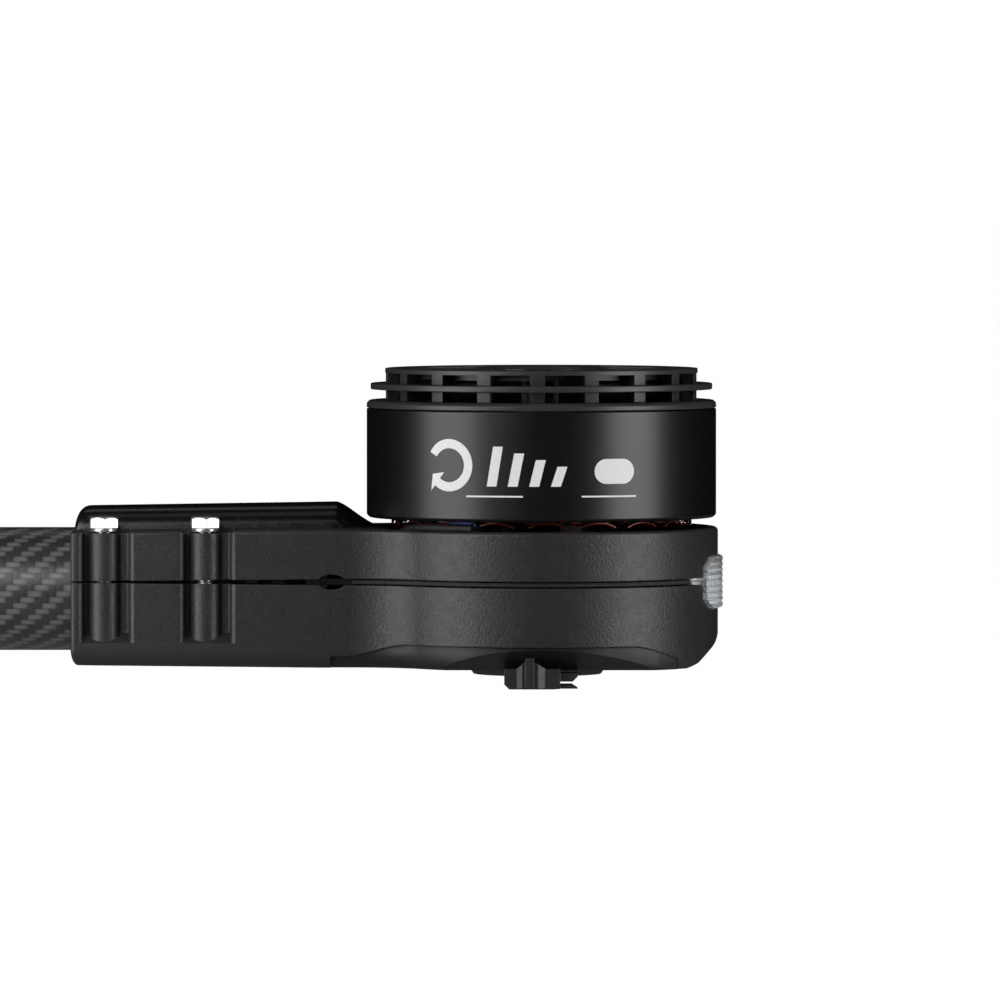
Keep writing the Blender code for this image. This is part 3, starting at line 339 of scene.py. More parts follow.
# ---- Node helpers --------------------------------------------------------------------------------------
class Surface:
    """A material under construction, with short calls for the nodes used here."""

    def __init__(self, name, colour, roughness, metallic=0.0, **more):
        self.material = bpy.data.materials.new(name)
        self.material.use_nodes = True
        self.tree = self.material.node_tree
        self.shader = self.tree.nodes["Principled BSDF"]
        self.set("Base Color", (*colour, 1.0))
        self.set("Roughness", roughness)
        self.set("Metallic", metallic)
        for socket, value in more.items():
            self.set(socket.replace("_", " "), value)
        self.place = self.node("ShaderNodeTexCoord").outputs["Object"]

    def set(self, socket, value):
        """Sets a socket of the shader to a number or colour, or links a node's output to it."""
        self.feed(self.shader.inputs[socket], value)

    def feed(self, socket, value):
        if isinstance(value, bpy.types.NodeSocket):
            self.tree.links.new(value, socket)
        else:
            socket.default_value = value

    def node(self, kind, inputs=None, **settings):
        made = self.tree.nodes.new(kind)
        for key, value in settings.items():
            setattr(made, key, value)
        for key, value in (inputs or {}).items():
            self.feed(made.inputs[key], value)
        return made

    def math(self, operation, first, second=0.0, third=0.0):
        made = self.node("ShaderNodeMath", {0: first, 1: second, 2: third}, operation=operation)
        return made.outputs[0]

    def axes(self):
        made = self.node("ShaderNodeSeparateXYZ", {0: self.place})
        return made.outputs[0], made.outputs[1], made.outputs[2]

    def vector(self, x, y, z):
        return self.node("ShaderNodeCombineXYZ", {0: x, 1: y, 2: z}).outputs[0]

    def noise(self, grain, detail=2.0, place=None):
        """Noise whose grain has the given size in metres."""
        inputs = {"Vector": place or self.place, "Scale": 1.0 / grain, "Detail": detail}
        return self.node("ShaderNodeTexNoise", inputs).outputs["Fac"]

    def spread(self, value, low, high):
        """A value between 0 and 1 spread from low to high."""
        inputs = {"Value": value, "From Min": 0.3, "From Max": 0.7, "To Min": low, "To Max": high}
        return self.node("ShaderNodeMapRange", inputs).outputs[0]

    def mix(self, amount, first, second):
        """A colour between two colours."""
        made = self.node("ShaderNodeMix", data_type="RGBA")
        for index, value in ((0, amount), (6, first), (7, second)):
            if isinstance(value, tuple) and len(value) == 3:
                value = (*value, 1.0)
            self.feed(made.inputs[index], value)
        return made.outputs[2]

    def bump(self, height, depth, edge=0.0):
        """Relief whose height of 1 stands depth metres high, over edges rounded by a radius."""
        inputs = {"Height": height, "Distance": depth, "Strength": 1.0}
        if edge > 0.0:
            inputs["Normal"] = self.node("ShaderNodeBevel", {"Radius": edge}, samples=6).outputs[0]
        self.set("Normal", self.node("ShaderNodeBump", inputs).outputs[0])


ROUGHNESS_BELOW = 0.04             # a surface's roughness varies by this much below and above its value
ROUGHNESS_ABOVE = 0.05


def moulded(name, dark, light, roughness, grain, depth, edge=0.0004, **more):
    """Moulded plastic or rubber with a fine pebbled skin and faint mottling."""
    surface = Surface(name, dark, roughness, **more)
    surface.set("Base Color", surface.mix(surface.noise(0.006, 3.0), dark, light))
    surface.set("Roughness", surface.spread(surface.noise(0.002, 3.0), roughness - ROUGHNESS_BELOW,
                                          roughness + ROUGHNESS_ABOVE))
    surface.bump(surface.noise(grain, 2.0), depth, edge)
    return surface.material


def turned_metal(name, dark, light, roughness, metallic, centre_x):
    """Metal cut on a lathe about a vertical axis: fine rings on flats, fine lines round its sides."""
    pitch = 0.00018
    depth = 0.000002
    edge = 0.0002
    surface = Surface(name, dark, roughness, metallic)
    x, y, z = surface.axes()
    across = surface.math("SUBTRACT", x, centre_x)
    radius = surface.math("SQRT", surface.math("ADD", surface.math("POWER", across, 2.0),
                                               surface.math("POWER", y, 2.0)))
    rings = surface.vector(surface.math("DIVIDE", radius, pitch), 0.0, surface.math("DIVIDE", z, pitch))
    lines = surface.noise(1.0, 2.0, rings)
    surface.set("Base Color", surface.mix(surface.noise(0.004, 3.0), dark, light))
    surface.set("Roughness", surface.spread(lines, roughness - ROUGHNESS_BELOW, roughness + ROUGHNESS_ABOVE))
    surface.bump(lines, depth, edge)
    return surface.material


def carbon_twill():
    """Two-by-two twill of flat carbon tows round a tube along X, under a clear coat, with a painted sheen on
    the tows along X and painted shade where the tows sink.
    """
    tow_length = 0.00175
    tows_round = 64
    surface = Surface("carbon_twill", (0.05, 0.05, 0.055), 0.42, 0.0, Coat_Weight=1.0, Coat_Roughness=0.34)
    x, y, z = surface.axes()
    along = surface.math("DIVIDE", x, tow_length)
    angle = surface.math("ARCTAN2", z, surface.math("MULTIPLY", y, -1.0))
    around = surface.math("MULTIPLY", angle, tows_round / math.tau)
    step = surface.math("SUBTRACT", surface.math("FLOOR", along), surface.math("FLOOR", around))
    phase = surface.math("FLOORED_MODULO", step, 4.0)
    lengthwise = surface.math("LESS_THAN", phase, 1.5)
    in_along = surface.math("FRACT", along)
    in_around = surface.math("FRACT", around)

    def choose(from_round, from_x):
        """One value where the tow on top runs round the tube, the other where it runs along X."""
        inputs = {0: lengthwise, 2: from_round, 3: from_x}
        return surface.node("ShaderNodeMix", inputs, data_type="FLOAT").outputs[0]

    def arch(value):
        return surface.math("SINE", surface.math("MULTIPLY", value, math.pi))

    def tow(across, float_at):
        """Height of one tow: rounded across, and sinking where it dives under at both ends."""
        crown = surface.math("POWER", arch(across), 0.4)
        dive = surface.math("POWER", arch(float_at), 0.35)
        return surface.math("MULTIPLY", crown, dive)

    run_x = surface.math("MULTIPLY", surface.math("ADD", phase, in_along), 0.5)
    left_round = surface.math("SUBTRACT", 3.0, phase)
    run_round = surface.math("MULTIPLY", surface.math("ADD", left_round, in_around), 0.5)
    high_x = tow(in_around, run_x)
    high_round = tow(in_along, run_round)
    height = choose(high_round, high_x)
    fibres_x = surface.noise(1.0, 1.0, surface.vector(surface.math("MULTIPLY", along, 0.4),
                                                      surface.math("MULTIPLY", around, 14.0), 0.0))
    fibres_round = surface.noise(1.0, 1.0, surface.vector(surface.math("MULTIPLY", along, 14.0),
                                                          surface.math("MULTIPLY", around, 0.4), 3.0))
    streak = choose(fibres_round, fibres_x)
    # Painted sheen: the tows along X are coloured lighter than the tows round the tube, in place of the glints
    # that their fibres catch.
    lit_tows_along_x = surface.mix(streak, (0.050, 0.050, 0.052), (0.200, 0.201, 0.204))
    shaded_tows_round = surface.mix(streak, (0.008, 0.008, 0.009), (0.026, 0.026, 0.028))
    weave_with_painted_sheen = surface.mix(lengthwise, shaded_tows_round, lit_tows_along_x)
    # Painted shade: the colour goes near black where the tows sink at their edges and dive under each other.
    surface.set("Base Color", surface.mix(height, (0.010, 0.010, 0.011), weave_with_painted_sheen))
    surface.bump(surface.math("ADD", height, surface.math("MULTIPLY", streak, 0.15)), 0.00006)
    return surface.material


def laminated():
    """Stack of thin steel sheets, seen as level lines."""
    surface = Surface("steel_laminations", (0.09, 0.09, 0.10), 0.45, 0.8)
    sheet_pitch = 0.00035
    z = surface.axes()[2]
    sheets = surface.math("FRACT", surface.math("DIVIDE", z, sheet_pitch))
    line = surface.math("GREATER_THAN", sheets, 0.82)
    surface.set("Base Color", surface.mix(line, surface.mix(surface.noise(0.001), (0.07, 0.07, 0.08),
                                                            (0.16, 0.15, 0.15)), (0.02, 0.02, 0.02)))
    surface.bump(surface.math("SUBTRACT", 1.0, line), 0.00004)
    return surface.material


def enamelled():
    """Copper winding wire under red-brown enamel."""
    surface = Surface("enamelled_wire", (0.30, 0.05, 0.02), 0.30, 0.55, Coat_Weight=0.8, Coat_Roughness=0.15)
    surface.set("Base Color", surface.mix(surface.spread(surface.noise(0.0015, 3.0), 0.0, 1.0),
                                          (0.17, 0.022, 0.010), (0.42, 0.085, 0.030)))
    surface.set("Roughness", surface.spread(surface.noise(0.0006), 0.22, 0.40))
    surface.bump(surface.noise(0.0004), 0.00002)
    return surface.material


def clear_plastic():
    """Clear polycarbonate with a faint haze from moulding."""
    surface = Surface("clear_plastic", (0.93, 0.95, 0.97), 0.06, 0.0, Transmission_Weight=0.86, IOR=1.50)
    surface.set("Roughness", surface.spread(surface.noise(0.0012, 3.0), 0.03, 0.12))
    surface.bump(surface.noise(0.0010, 2.0), 0.00004)
    return surface.material


def circuit_board():
    """Green solder mask with faint tracks and pads."""
    surface = Surface("circuit_board", (0.02, 0.10, 0.05), 0.38, 0.0, Coat_Weight=0.3)
    track_pitch = 0.0017
    x, y = surface.axes()[:2]
    track = surface.math("FRACT", surface.math("DIVIDE", surface.math("ADD", x, y), track_pitch))
    line = surface.math("LESS_THAN", track, 0.22)
    pads = surface.node("ShaderNodeTexVoronoi", {"Vector": surface.place, "Scale": 420.0}).outputs["Distance"]
    pad = surface.math("LESS_THAN", pads, 0.16)
    board = surface.mix(line, (0.014, 0.075, 0.038), (0.030, 0.150, 0.075))
    surface.set("Base Color", surface.mix(pad, board, (0.55, 0.45, 0.22)))
    surface.bump(surface.math("ADD", line, pad), 0.00003)
    return surface.material


def printed():
    """White print on the bell, a little uneven, as a screen leaves it."""
    surface = Surface("print_white", (0.86, 0.87, 0.87), 0.55)
    surface.set("Base Color", surface.mix(surface.noise(0.0006, 3.0), (0.80, 0.81, 0.82), (0.93, 0.93, 0.93)))
    surface.set("Roughness", surface.spread(surface.noise(0.0004), 0.48, 0.62))
    surface.bump(surface.noise(0.0003), 0.00001)
    return surface.material


HOUSING = moulded("moulded_black", (0.016, 0.016, 0.017), (0.024, 0.024, 0.025), 0.42, 0.00065, 0.00011,
                  0.00045)
SPINE_GLOSS = moulded("polished_black", (0.004, 0.004, 0.005), (0.008, 0.008, 0.009), 0.24, 0.0012, 0.00001)
COVER = moulded("anodised_cover", (0.015, 0.015, 0.016), (0.022, 0.022, 0.023), 0.46, 0.0003, 0.000015,
                0.0003, Metallic=0.3)
RUBBER = moulded("black_rubber", (0.010, 0.010, 0.010), (0.017, 0.017, 0.017), 0.72, 0.0003, 0.00002)
NYLON = moulded("black_nylon", (0.016, 0.016, 0.017), (0.028, 0.028, 0.029), 0.44, 0.0005, 0.00002, 0.0003)
SHEATH = moulded("silicone_sheath", (0.012, 0.012, 0.013), (0.020, 0.020, 0.021), 0.55, 0.0004, 0.00001)
BLUE_SLEEVE = moulded("blue_sleeve", (0.010, 0.045, 0.190), (0.018, 0.075, 0.280), 0.40, 0.0004, 0.00001)
PAD_GREY = moulded("thermal_pad_grey", (0.26, 0.29, 0.34), (0.34, 0.37, 0.41), 0.75, 0.0004, 0.00003)
CAN = moulded("capacitor_sleeve", (0.04, 0.04, 0.08), (0.06, 0.06, 0.11), 0.32, 0.0006, 0.00001)
WHITE_PLASTIC = moulded("white_reflector", (0.80, 0.81, 0.82), (0.90, 0.90, 0.90), 0.35, 0.0006, 0.00001)
BELL = turned_metal("anodised_bell", (0.002, 0.002, 0.003), (0.004, 0.004, 0.005), 0.33, 0.0, MOTOR_X)
CAP = turned_metal("anodised_cap", (0.030, 0.030, 0.031), (0.046, 0.046, 0.047), 0.38, 0.2, MOTOR_X)
STEEL = turned_metal("bearing_steel", (0.46, 0.47, 0.49), (0.60, 0.61, 0.63), 0.22, 1.0, MOTOR_X)
NICKEL = turned_metal("nickel_plate", (0.38, 0.38, 0.39), (0.50, 0.50, 0.50), 0.28, 1.0, MOTOR_X)
CHROME = turned_metal("bright_bolt", (0.56, 0.57, 0.58), (0.72, 0.72, 0.73), 0.24, 0.8, BOLT_XS[0])
BRASS = turned_metal("brass", (0.52, 0.36, 0.14), (0.66, 0.47, 0.20), 0.32, 1.0, BOLT_XS[0])
CARBON = carbon_twill()
LAMINATED = laminated()
ENAMELLED = enamelled()
CLEAR = clear_plastic()
BOARD = circuit_board()
PRINT = printed()


def dress(piece, material, body, slot, *nodes):
    """Gives a new piece its material and body, and hides the nodes that it stands for. The slot argument is
    not used.
    """
    piece.data.materials.append(material)
    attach(piece, body)
    if nodes:
        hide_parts(*nodes)
    return piece


# ---- Housings --------------------------------------------------------------------------------------------
def pod_outline(inset=0.0, start_x=MOUTH_X, corner=0.0010):
    """Plan of the pod moved inwards by inset: flat clamp sides, two hollow arcs, round motor end."""
    hollow_y = CLAMP_HALF_WIDTH + JUNCTION_RADIUS
    hollow_x = MOTOR_X - math.sqrt((POD_RADIUS + JUNCTION_RADIUS) ** 2 - hollow_y ** 2)
    meeting = math.degrees(math.atan2(hollow_y, hollow_x - MOTOR_X))
    half = CLAMP_HALF_WIDTH - inset
    upper = arc(MOTOR_X, 0.0, POD_RADIUS - inset, 0.0, meeting, 90)
    upper += arc(hollow_x, hollow_y, JUNCTION_RADIUS + inset, meeting + 180.0, 270.0, 20)[1:]
    upper += arc(start_x + corner, half - corner, corner, 90.0, 180.0, 6)
    lower = [(x, -y) for x, y in reversed(upper[1:])]
    return upper + lower


def edge_share(x):
    """How much of the lower edge's rounding is left at x: all on the clamp, a quarter on the motor end."""
    return 1.0 - EDGE_FADE * ease((x - EDGE_FADE_X) / EDGE_FADE_LENGTH)


def pod_solid(name, low_z, low_edge, high_z, high_edge, steps=12):
    """The pod's plan given height, with its lower and upper edges rounded by the given radii."""
    levels = []
    if low_edge > 0.0:
        for i in range(steps):
            angle = math.pi / 2.0 * i / steps
            levels.append((low_z + low_edge * (1.0 - math.cos(angle)), low_edge * (1.0 - math.sin(angle))))
    levels.append((low_z + low_edge, 0.0))
    levels.append((high_z - high_edge, 0.0))
    if high_edge > 0.0:
        for i in range(steps):
            angle = math.pi / 2.0 * (i + 1) / steps
            levels.append((high_z - high_edge * (1.0 - math.sin(angle)), high_edge * (1.0 - math.cos(angle))))
    rings = []
    for height, inset in levels:
        ring = []
        inner = pod_outline(inset, MOUTH_X + inset * MOUTH_SHARE)
        for (x, y), (inner_x, inner_y) in zip(pod_outline(), inner):
            share = edge_share(x) if height < 0.0 else 1.0
            ring.append((x + (inner_x - x) * share, y + (inner_y - y) * share, height))
        rings.append(ring)
    return loft(name, rings)


def beyond_seam(name, side):
    """Everything on the far side of the seam from one housing: side 1 is the upper one, -1 the lower one."""
    near_x = MOUTH_X - OVERSHOOT
    far_x = MOTOR_X + 0.050
    far_z = -side * 0.040
    outline = [
        (near_x, SEAM_Z + side * SEAM_HALF_MOUTH), (SEAM_CLAMP_X, SEAM_Z + side * SEAM_HALF_CLAMP),
        (SEAM_MOTOR_X, SEAM_Z + side * SEAM_HALF_MOTOR), (far_x, SEAM_Z + side * SEAM_HALF_MOTOR),
        (far_x, far_z), (near_x, far_z),
    ]
    return prism(name, outline, -BESIDE, BESIDE, "XZ")


def relief_hole(name, side):
    """Blind lens-shaped hole that ends the clamp's slot on one side."""
    steps = 48
    outer_y = 0.030
    angles = [math.tau * i / steps for i in range(steps)]
    outline = [(RELIEF_X + RELIEF_HALF_LENGTH * math.cos(a), SEAM_Z + RELIEF_HALF_HEIGHT * math.sin(a))
               for a in angles]
    low_y, high_y = sorted((side * RELIEF_DEPTH_Y, side * outer_y))
    return prism(name, outline, low_y, high_y, "XZ")


def tube_bore(name):
    """Bore for the arm tube, stepped down to the grommet's seat in the bulkhead."""
    outer = TUBE_RADIUS + FIT
    seat = 0.0110
    inner_end = BULKHEAD_END_X + OVERSHOOT
    open_end = MOUTH_X - 0.005
    profile = [
        (0.0, inner_end), (seat, inner_end), (seat, TUBE_LENGTH + FIT), (outer, TUBE_LENGTH + FIT),
        (outer, open_end), (0.0, open_end),
    ]
    return turned(name, profile, 120, along_x=True)


def pocket_plan(x):
    """Plan of one bolt's pocket at +Y: rounded lips, rounded inner corners, the bolt's half-round boss."""
    clear_of_wall = 0.00002
    lip_y = CLAMP_HALF_WIDTH - POCKET_LIP + clear_of_wall
    boss_fillet = 0.0006
    reach = BOSS_RADIUS + boss_fillet
    fillet_y = POCKET_DEPTH_Y + boss_fillet
    fillet_x = math.sqrt(reach ** 2 - (fillet_y - BOLT_Y) ** 2)
    lean = math.degrees(math.atan2(fillet_y - BOLT_Y, fillet_x))
    inner = POCKET_HALF_LENGTH - POCKET_LIP
    half = [(POCKET_HALF_LENGTH, 0.0270)]
    half += arc(POCKET_HALF_LENGTH, lip_y, POCKET_LIP, 90.0, 180.0, 6)
    half += arc(inner - POCKET_FILLET, POCKET_DEPTH_Y + POCKET_FILLET, POCKET_FILLET, 0.0, -90.0, 6)
    half += arc(fillet_x, fillet_y, boss_fillet, 270.0, 180.0 + lean, 4)
    half += arc(0.0, BOLT_Y, BOSS_RADIUS, lean, 90.0, 16)[1:]
    left = [(-u, v) for u, v in reversed(half[:-1])]
    walls = 2 * 7 + 1
    plan = [(u + POCKET_OFFSET, v) for u, v in half[:walls]] + half[walls:]
    plan += left[:-walls] + [(u + POCKET_OFFSET, v) for u, v in left[-walls:]]
    return [(x + u, v) for u, v in plan]


def bolt_pocket(name, x, side):
    """Hollow in the clamp's side round one bolt, with a flat sloping foot."""
    outline = [(u, side * v) for u, v in pocket_plan(x)]
    pocket = prism(name, outline, -0.020, 0.022)
    bm = bmesh.new()
    bm.from_mesh(pocket.data)
    everything = bm.verts[:] + bm.edges[:] + bm.faces[:]
    foot = (0.0, side * POCKET_DEPTH_Y, POCKET_INNER_Z)
    downwards = (0.0, -side * POCKET_SLOPE, -1.0)
    bmesh.ops.bisect_plane(bm, geom=everything, plane_co=foot, plane_no=downwards, clear_outer=True)
    rim = [edge for edge in bm.edges if edge.is_boundary]
    bmesh.ops.edgeloop_fill(bm, edges=rim)
    bmesh.ops.recalc_face_normals(bm, faces=bm.faces)
    bm.to_mesh(pocket.data)
    bm.free()
    return pocket


def bolt_seat(name, x, side):
    """Trough in the deck that the bolt's head stands in."""
    low_y, high_y = sorted((side * 0.0140, side * 0.0260))
    open_z = 0.0158
    slope = 0.0015
    corner = 0.0008
    left_x = x + POCKET_OFFSET - POCKET_HALF_LENGTH
    right_x = x + POCKET_OFFSET + POCKET_HALF_LENGTH
    outline = rounded([
        (left_x + slope, BOLT_SEAT_Z), (right_x - slope, BOLT_SEAT_Z), (right_x + slope, open_z),
        (left_x - slope, open_z),
    ], corner)
    return prism(name, outline, low_y, high_y, "XZ")


def lamp_half_angle(height):
    """Half the lamp's width in degrees at a height from its middle: a point at the seam, cut corners."""
    if height < LAMP_POINT_HEIGHT:
        return LAMP_HALF_ANGLE + LAMP_POINT_ANGLE * (1.0 - height / LAMP_POINT_HEIGHT)
    if height < LAMP_CORNER_HEIGHT:
        return LAMP_HALF_ANGLE
    corner = LAMP_HALF_HEIGHT - LAMP_CORNER_HEIGHT
    return LAMP_HALF_ANGLE - LAMP_CORNER_ANGLE * (height - LAMP_CORNER_HEIGHT) / corner


def lamp_ring(offset, outer_radius, inner_radius, margin, steps, flute=0.0):
    """One level outline of the lamp; flute is how deep the upright flutes inside are."""
    half = lamp_half_angle(min(abs(offset), LAMP_HALF_HEIGHT)) + margin
    outline = arc(MOTOR_X, 0.0, outer_radius, -half, half, steps)
    for i in range(steps + 1):
        angle = half - 2.0 * half * i / steps
        radius = inner_radius + (flute if i % 2 else 0.0)
        outline += arc(MOTOR_X, 0.0, radius, angle, angle, 1)[:1]
    return [(x, y, LAMP_Z + offset) for x, y in outline]


def lamp_opening(name):
    """The hole for the lamp through both housings, a little wider than the lamp."""
    margin = 0.5
    outer_radius = LAMP_RADIUS + 0.002
    heights = [LAMP_POINT_HEIGHT, LAMP_CORNER_HEIGHT, LAMP_HALF_HEIGHT + FIT]
    offsets = [-height for height in reversed(heights)] + [0.0] + heights
    return loft(name, [lamp_ring(offset, outer_radius, LAMP_INNER_RADIUS - FIT, margin, 32)
                       for offset in offsets])


def spine_height(x, across):
    """Top of the spine at x, where across runs from -1 to 1 over its width."""
    shorter_at_side = 0.006
    earlier_at_side = 0.0005
    below_deck = 0.0003
    ridge = SPINE_RIDGE_Z + (x - MOUTH_X) * SPINE_RISE
    length = SPINE_SLOPE_LENGTH - shorter_at_side * across ** 2
    fall = max((x - SPINE_SLOPE_X + earlier_at_side * across ** 2) / length, 0.0)
    foot = DECK_Z - below_deck
    top = foot + (ridge - foot) * (1.0 - ease(fall ** 0.8))
    nose = max((MOUTH_X + FIT + SPINE_NOSE - x) / SPINE_NOSE, 0.0)
    return SPINE_BASE_Z + (top - SPINE_BASE_Z) * max(1.0 - nose ** 3, 0.0001) ** (1.0 / 3.0)


def spine():
    """Raised back over the tube: steep flanks, rounded top edges, and a slope down to the motor."""
    nose_steps = 16
    slope_steps = 30
    section_steps = 44
    foot_z = SPINE_BASE_Z - 0.0005
    stations = [MOUTH_X + FIT + SPINE_NOSE * (1.0 - math.cos(math.pi / 2.0 * i / nose_steps))
                for i in range(nose_steps + 1)]
    stations += [SPINE_SLOPE_X - 0.001 + (SPINE_SLOPE_LENGTH + 0.0005) * i / slope_steps
                 for i in range(slope_steps + 1)]
    rings = []
    for x in stations:
        ring = []
        for i in range(section_steps + 1):
            angle = math.pi * i / section_steps
            across = math.copysign(abs(math.cos(angle)) ** 0.5, math.cos(angle))
            rise = abs(math.sin(angle)) ** 0.5
            height = SPINE_BASE_Z + (spine_height(x, across) - SPINE_BASE_Z) * rise
            ring.append((x, SPINE_HALF_WIDTH * across, height))
        ring.append((x, -SPINE_HALF_WIDTH, foot_z))
        ring.append((x, SPINE_HALF_WIDTH, foot_z))
        rings.append(ring)
    return loft("spine", rings)


def bolt_places():
    return [(x, side) for x in BOLT_XS for side in (-1, 1)]


def motor_screw_places():
    circle = 0.025
    angles = [math.radians(45.0 + 90.0 * i) for i in range(4)]
    return [(MOTOR_X + circle * math.cos(a), circle * math.sin(a)) for a in angles]


def shared_cutters(tag):
    """What is cut from both housings alike."""
    cutters = [relief_hole(f"relief_{tag}_{side}", side) for side in (-1, 1)]
    cutters += [tube_bore("bore_" + tag), lamp_opening("opening_" + tag)]
    return cutters + [bolt_pocket(f"pocket_{tag}_{i}", x, side) for i, (x, side) in enumerate(bolt_places())]


def tilt_end(piece, side, amount):
    """Moves the deck (side 1) or base (side -1) inwards, by nothing at DECK_LEVEL_X, amount at the mouth."""
    beyond_z = 0.0105
    bm = bmesh.new()
    bm.from_mesh(piece.data)
    everything = bm.verts[:] + bm.edges[:] + bm.faces[:]
    bmesh.ops.bisect_plane(bm, geom=everything, plane_co=(DECK_LEVEL_X, 0, 0), plane_no=(1, 0, 0))
    for vert in bm.verts:
        if vert.co.z * side > beyond_z and vert.co.x < DECK_LEVEL_X:
            vert.co.z -= side * amount * (DECK_LEVEL_X - vert.co.x) / (DECK_LEVEL_X - MOUTH_X)
    bm.to_mesh(piece.data)
    bm.free()


def upper_housing():
    piece = pod_solid("housing_upper", -0.005, 0.0, DECK_Z, DECK_EDGE, 5)
    tilt_end(piece, 1, DECK_DROP)
    cut(piece, cylinder("motor_bay", RECESS_RADIUS, FLOOR_TOP_Z, 0.030, (MOTOR_X, 0.0), ROUND))
    join(piece, spine())
    room = prism("upper_cavity", pod_outline(HOUSING_WALL, BULKHEAD_END_X), -0.010, FLOOR_BOTTOM_Z)
    join(room, box("neck_room", (BULKHEAD_END_X, -0.018, -0.009), (0.1005, 0.018, 0.0125)))
    slot = box("lead_slot", (0.1066, -0.0115, 0.002), (0.1108, 0.0115, 0.010))
    cut(piece, beyond_seam("below_seam", 1), room, slot, *shared_cutters("upper"))
    for i, (x, side) in enumerate(bolt_places()):
        cut(piece, bolt_seat(f"seat_{i}", x, side))
        cut(piece, cylinder(f"bolt_hole_{i}", BOLT_RADIUS + FIT, -0.02, 0.03, (x, side * BOLT_Y)))
    for i, place in enumerate(motor_screw_places()):
        cut(piece, cylinder(f"floor_hole_{i}", 0.0018, 0.003, 0.009, place))
    settle(piece)
    dress(piece, HOUSING, "pod", "housing_black", "upper_housing")
    piece.data.materials.append(SPINE_GLOSS)
    just_over_deck = DECK_Z + 0.0001
    for face in piece.data.polygons:
        over_deck = face.center.z > just_over_deck and face.center.x < SPINE_SLOPE_X + SPINE_SLOPE_LENGTH
        if over_deck and abs(face.center.y) < SPINE_HALF_WIDTH:
            face.material_index = 1
    return smooth(piece)


def window_edge(x):
    """Height of the wall's lower edge at x: level under the motor, eased down at both ends."""
    i = 0 if x < MOTOR_X else 1
    rise = ease((x - WINDOW_ENDS[i]) / (WINDOW_FLAT[i] - WINDOW_ENDS[i]))
    return WINDOW_FEET[i] + (WINDOW_Z - WINDOW_FEET[i]) * rise


def side_window(name, gap):
    """Everything below the wall's lower edge over the cover's length, drawn in by a gap all round."""
    steps = 24
    low_x = COVER_ENDS[0] - FIT + gap
    high_x = COVER_ENDS[1] + FIT - gap
    xs = [low_x + (WINDOW_FLAT[0] - low_x) * i / steps for i in range(steps + 1)]
    xs += [WINDOW_FLAT[1] + (high_x - WINDOW_FLAT[1]) * i / steps for i in range(steps + 1)]
    outline = [(x, window_edge(x) - gap) for x in xs]
    below = BASE_Z - 0.002
    outline += [(high_x, below), (low_x, below)]
    return prism(name, outline, -BESIDE, BESIDE, "XZ")


def tip_chamfer(name):
    """What is taken off the lower edge of the pod's tip, in side view, all the way across."""
    bottom = BASE_Z - 0.0002
    curve = [
        (0.0335, bottom), (0.0350, -0.0184), (0.0362, -0.0180), (0.0372, -0.0176), (0.0380, -0.0172),
        (0.0416, -0.0136), (0.0423, -0.0127), (0.0427, -0.0118), (0.0430, -0.0108),
        (POD_RADIUS + 0.0004, -0.0100), (BESIDE, -0.0100), (BESIDE, -0.0300), (0.0335, -0.0300),
    ]
    outline = [(MOTOR_X + reach, height) for reach, height in curve]
    return prism(name, outline, -0.050, 0.050, "XZ")


def lower_housing():
    piece = pod_solid("housing_lower", BASE_Z, BASE_EDGE, 0.010, 0.0)
    tilt_end(piece, -1, BASE_LIFT)
    cut(piece, beyond_seam("above_seam", -1), tip_chamfer("housing_tip"))
    room = prism("controller_room", pod_outline(HOUSING_WALL, BULKHEAD_END_X), WINDOW_Z - OVERSHOOT, 0.020)
    cut(piece, *shared_cutters("lower"), room, side_window("side_window", 0.0))
    for i, (x, side) in enumerate(bolt_places()):
        bottom = INSERT_TOP_Z - INSERT_LENGTH - 0.0005
        cut(piece, cylinder(f"insert_hole_{i}", INSERT_RADIUS + FIT, bottom, 0.005, (x, side * BOLT_Y)))
    settle(piece)
    dress(piece, HOUSING, "pod", "housing_black", "lower_housing")
    return smooth(piece)


def cover_plan():
    """Plan of the cover: behind the wall along its sides, and flush with it towards the pod's tip."""
    start, end = COVER_FLUSH_X
    plan = []
    for (x, y), (inner_x, inner_y) in zip(pod_outline(), pod_outline(COVER_INSET)):
        behind = 1.0 - ease((x - start) / (end - start))
        plan.append((x + (inner_x - x) * behind, y + (inner_y - y) * behind))
    return plan


def cover_screw_places():
    return [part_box(f"cover_screw_{i + 1}") for i in range(4)]


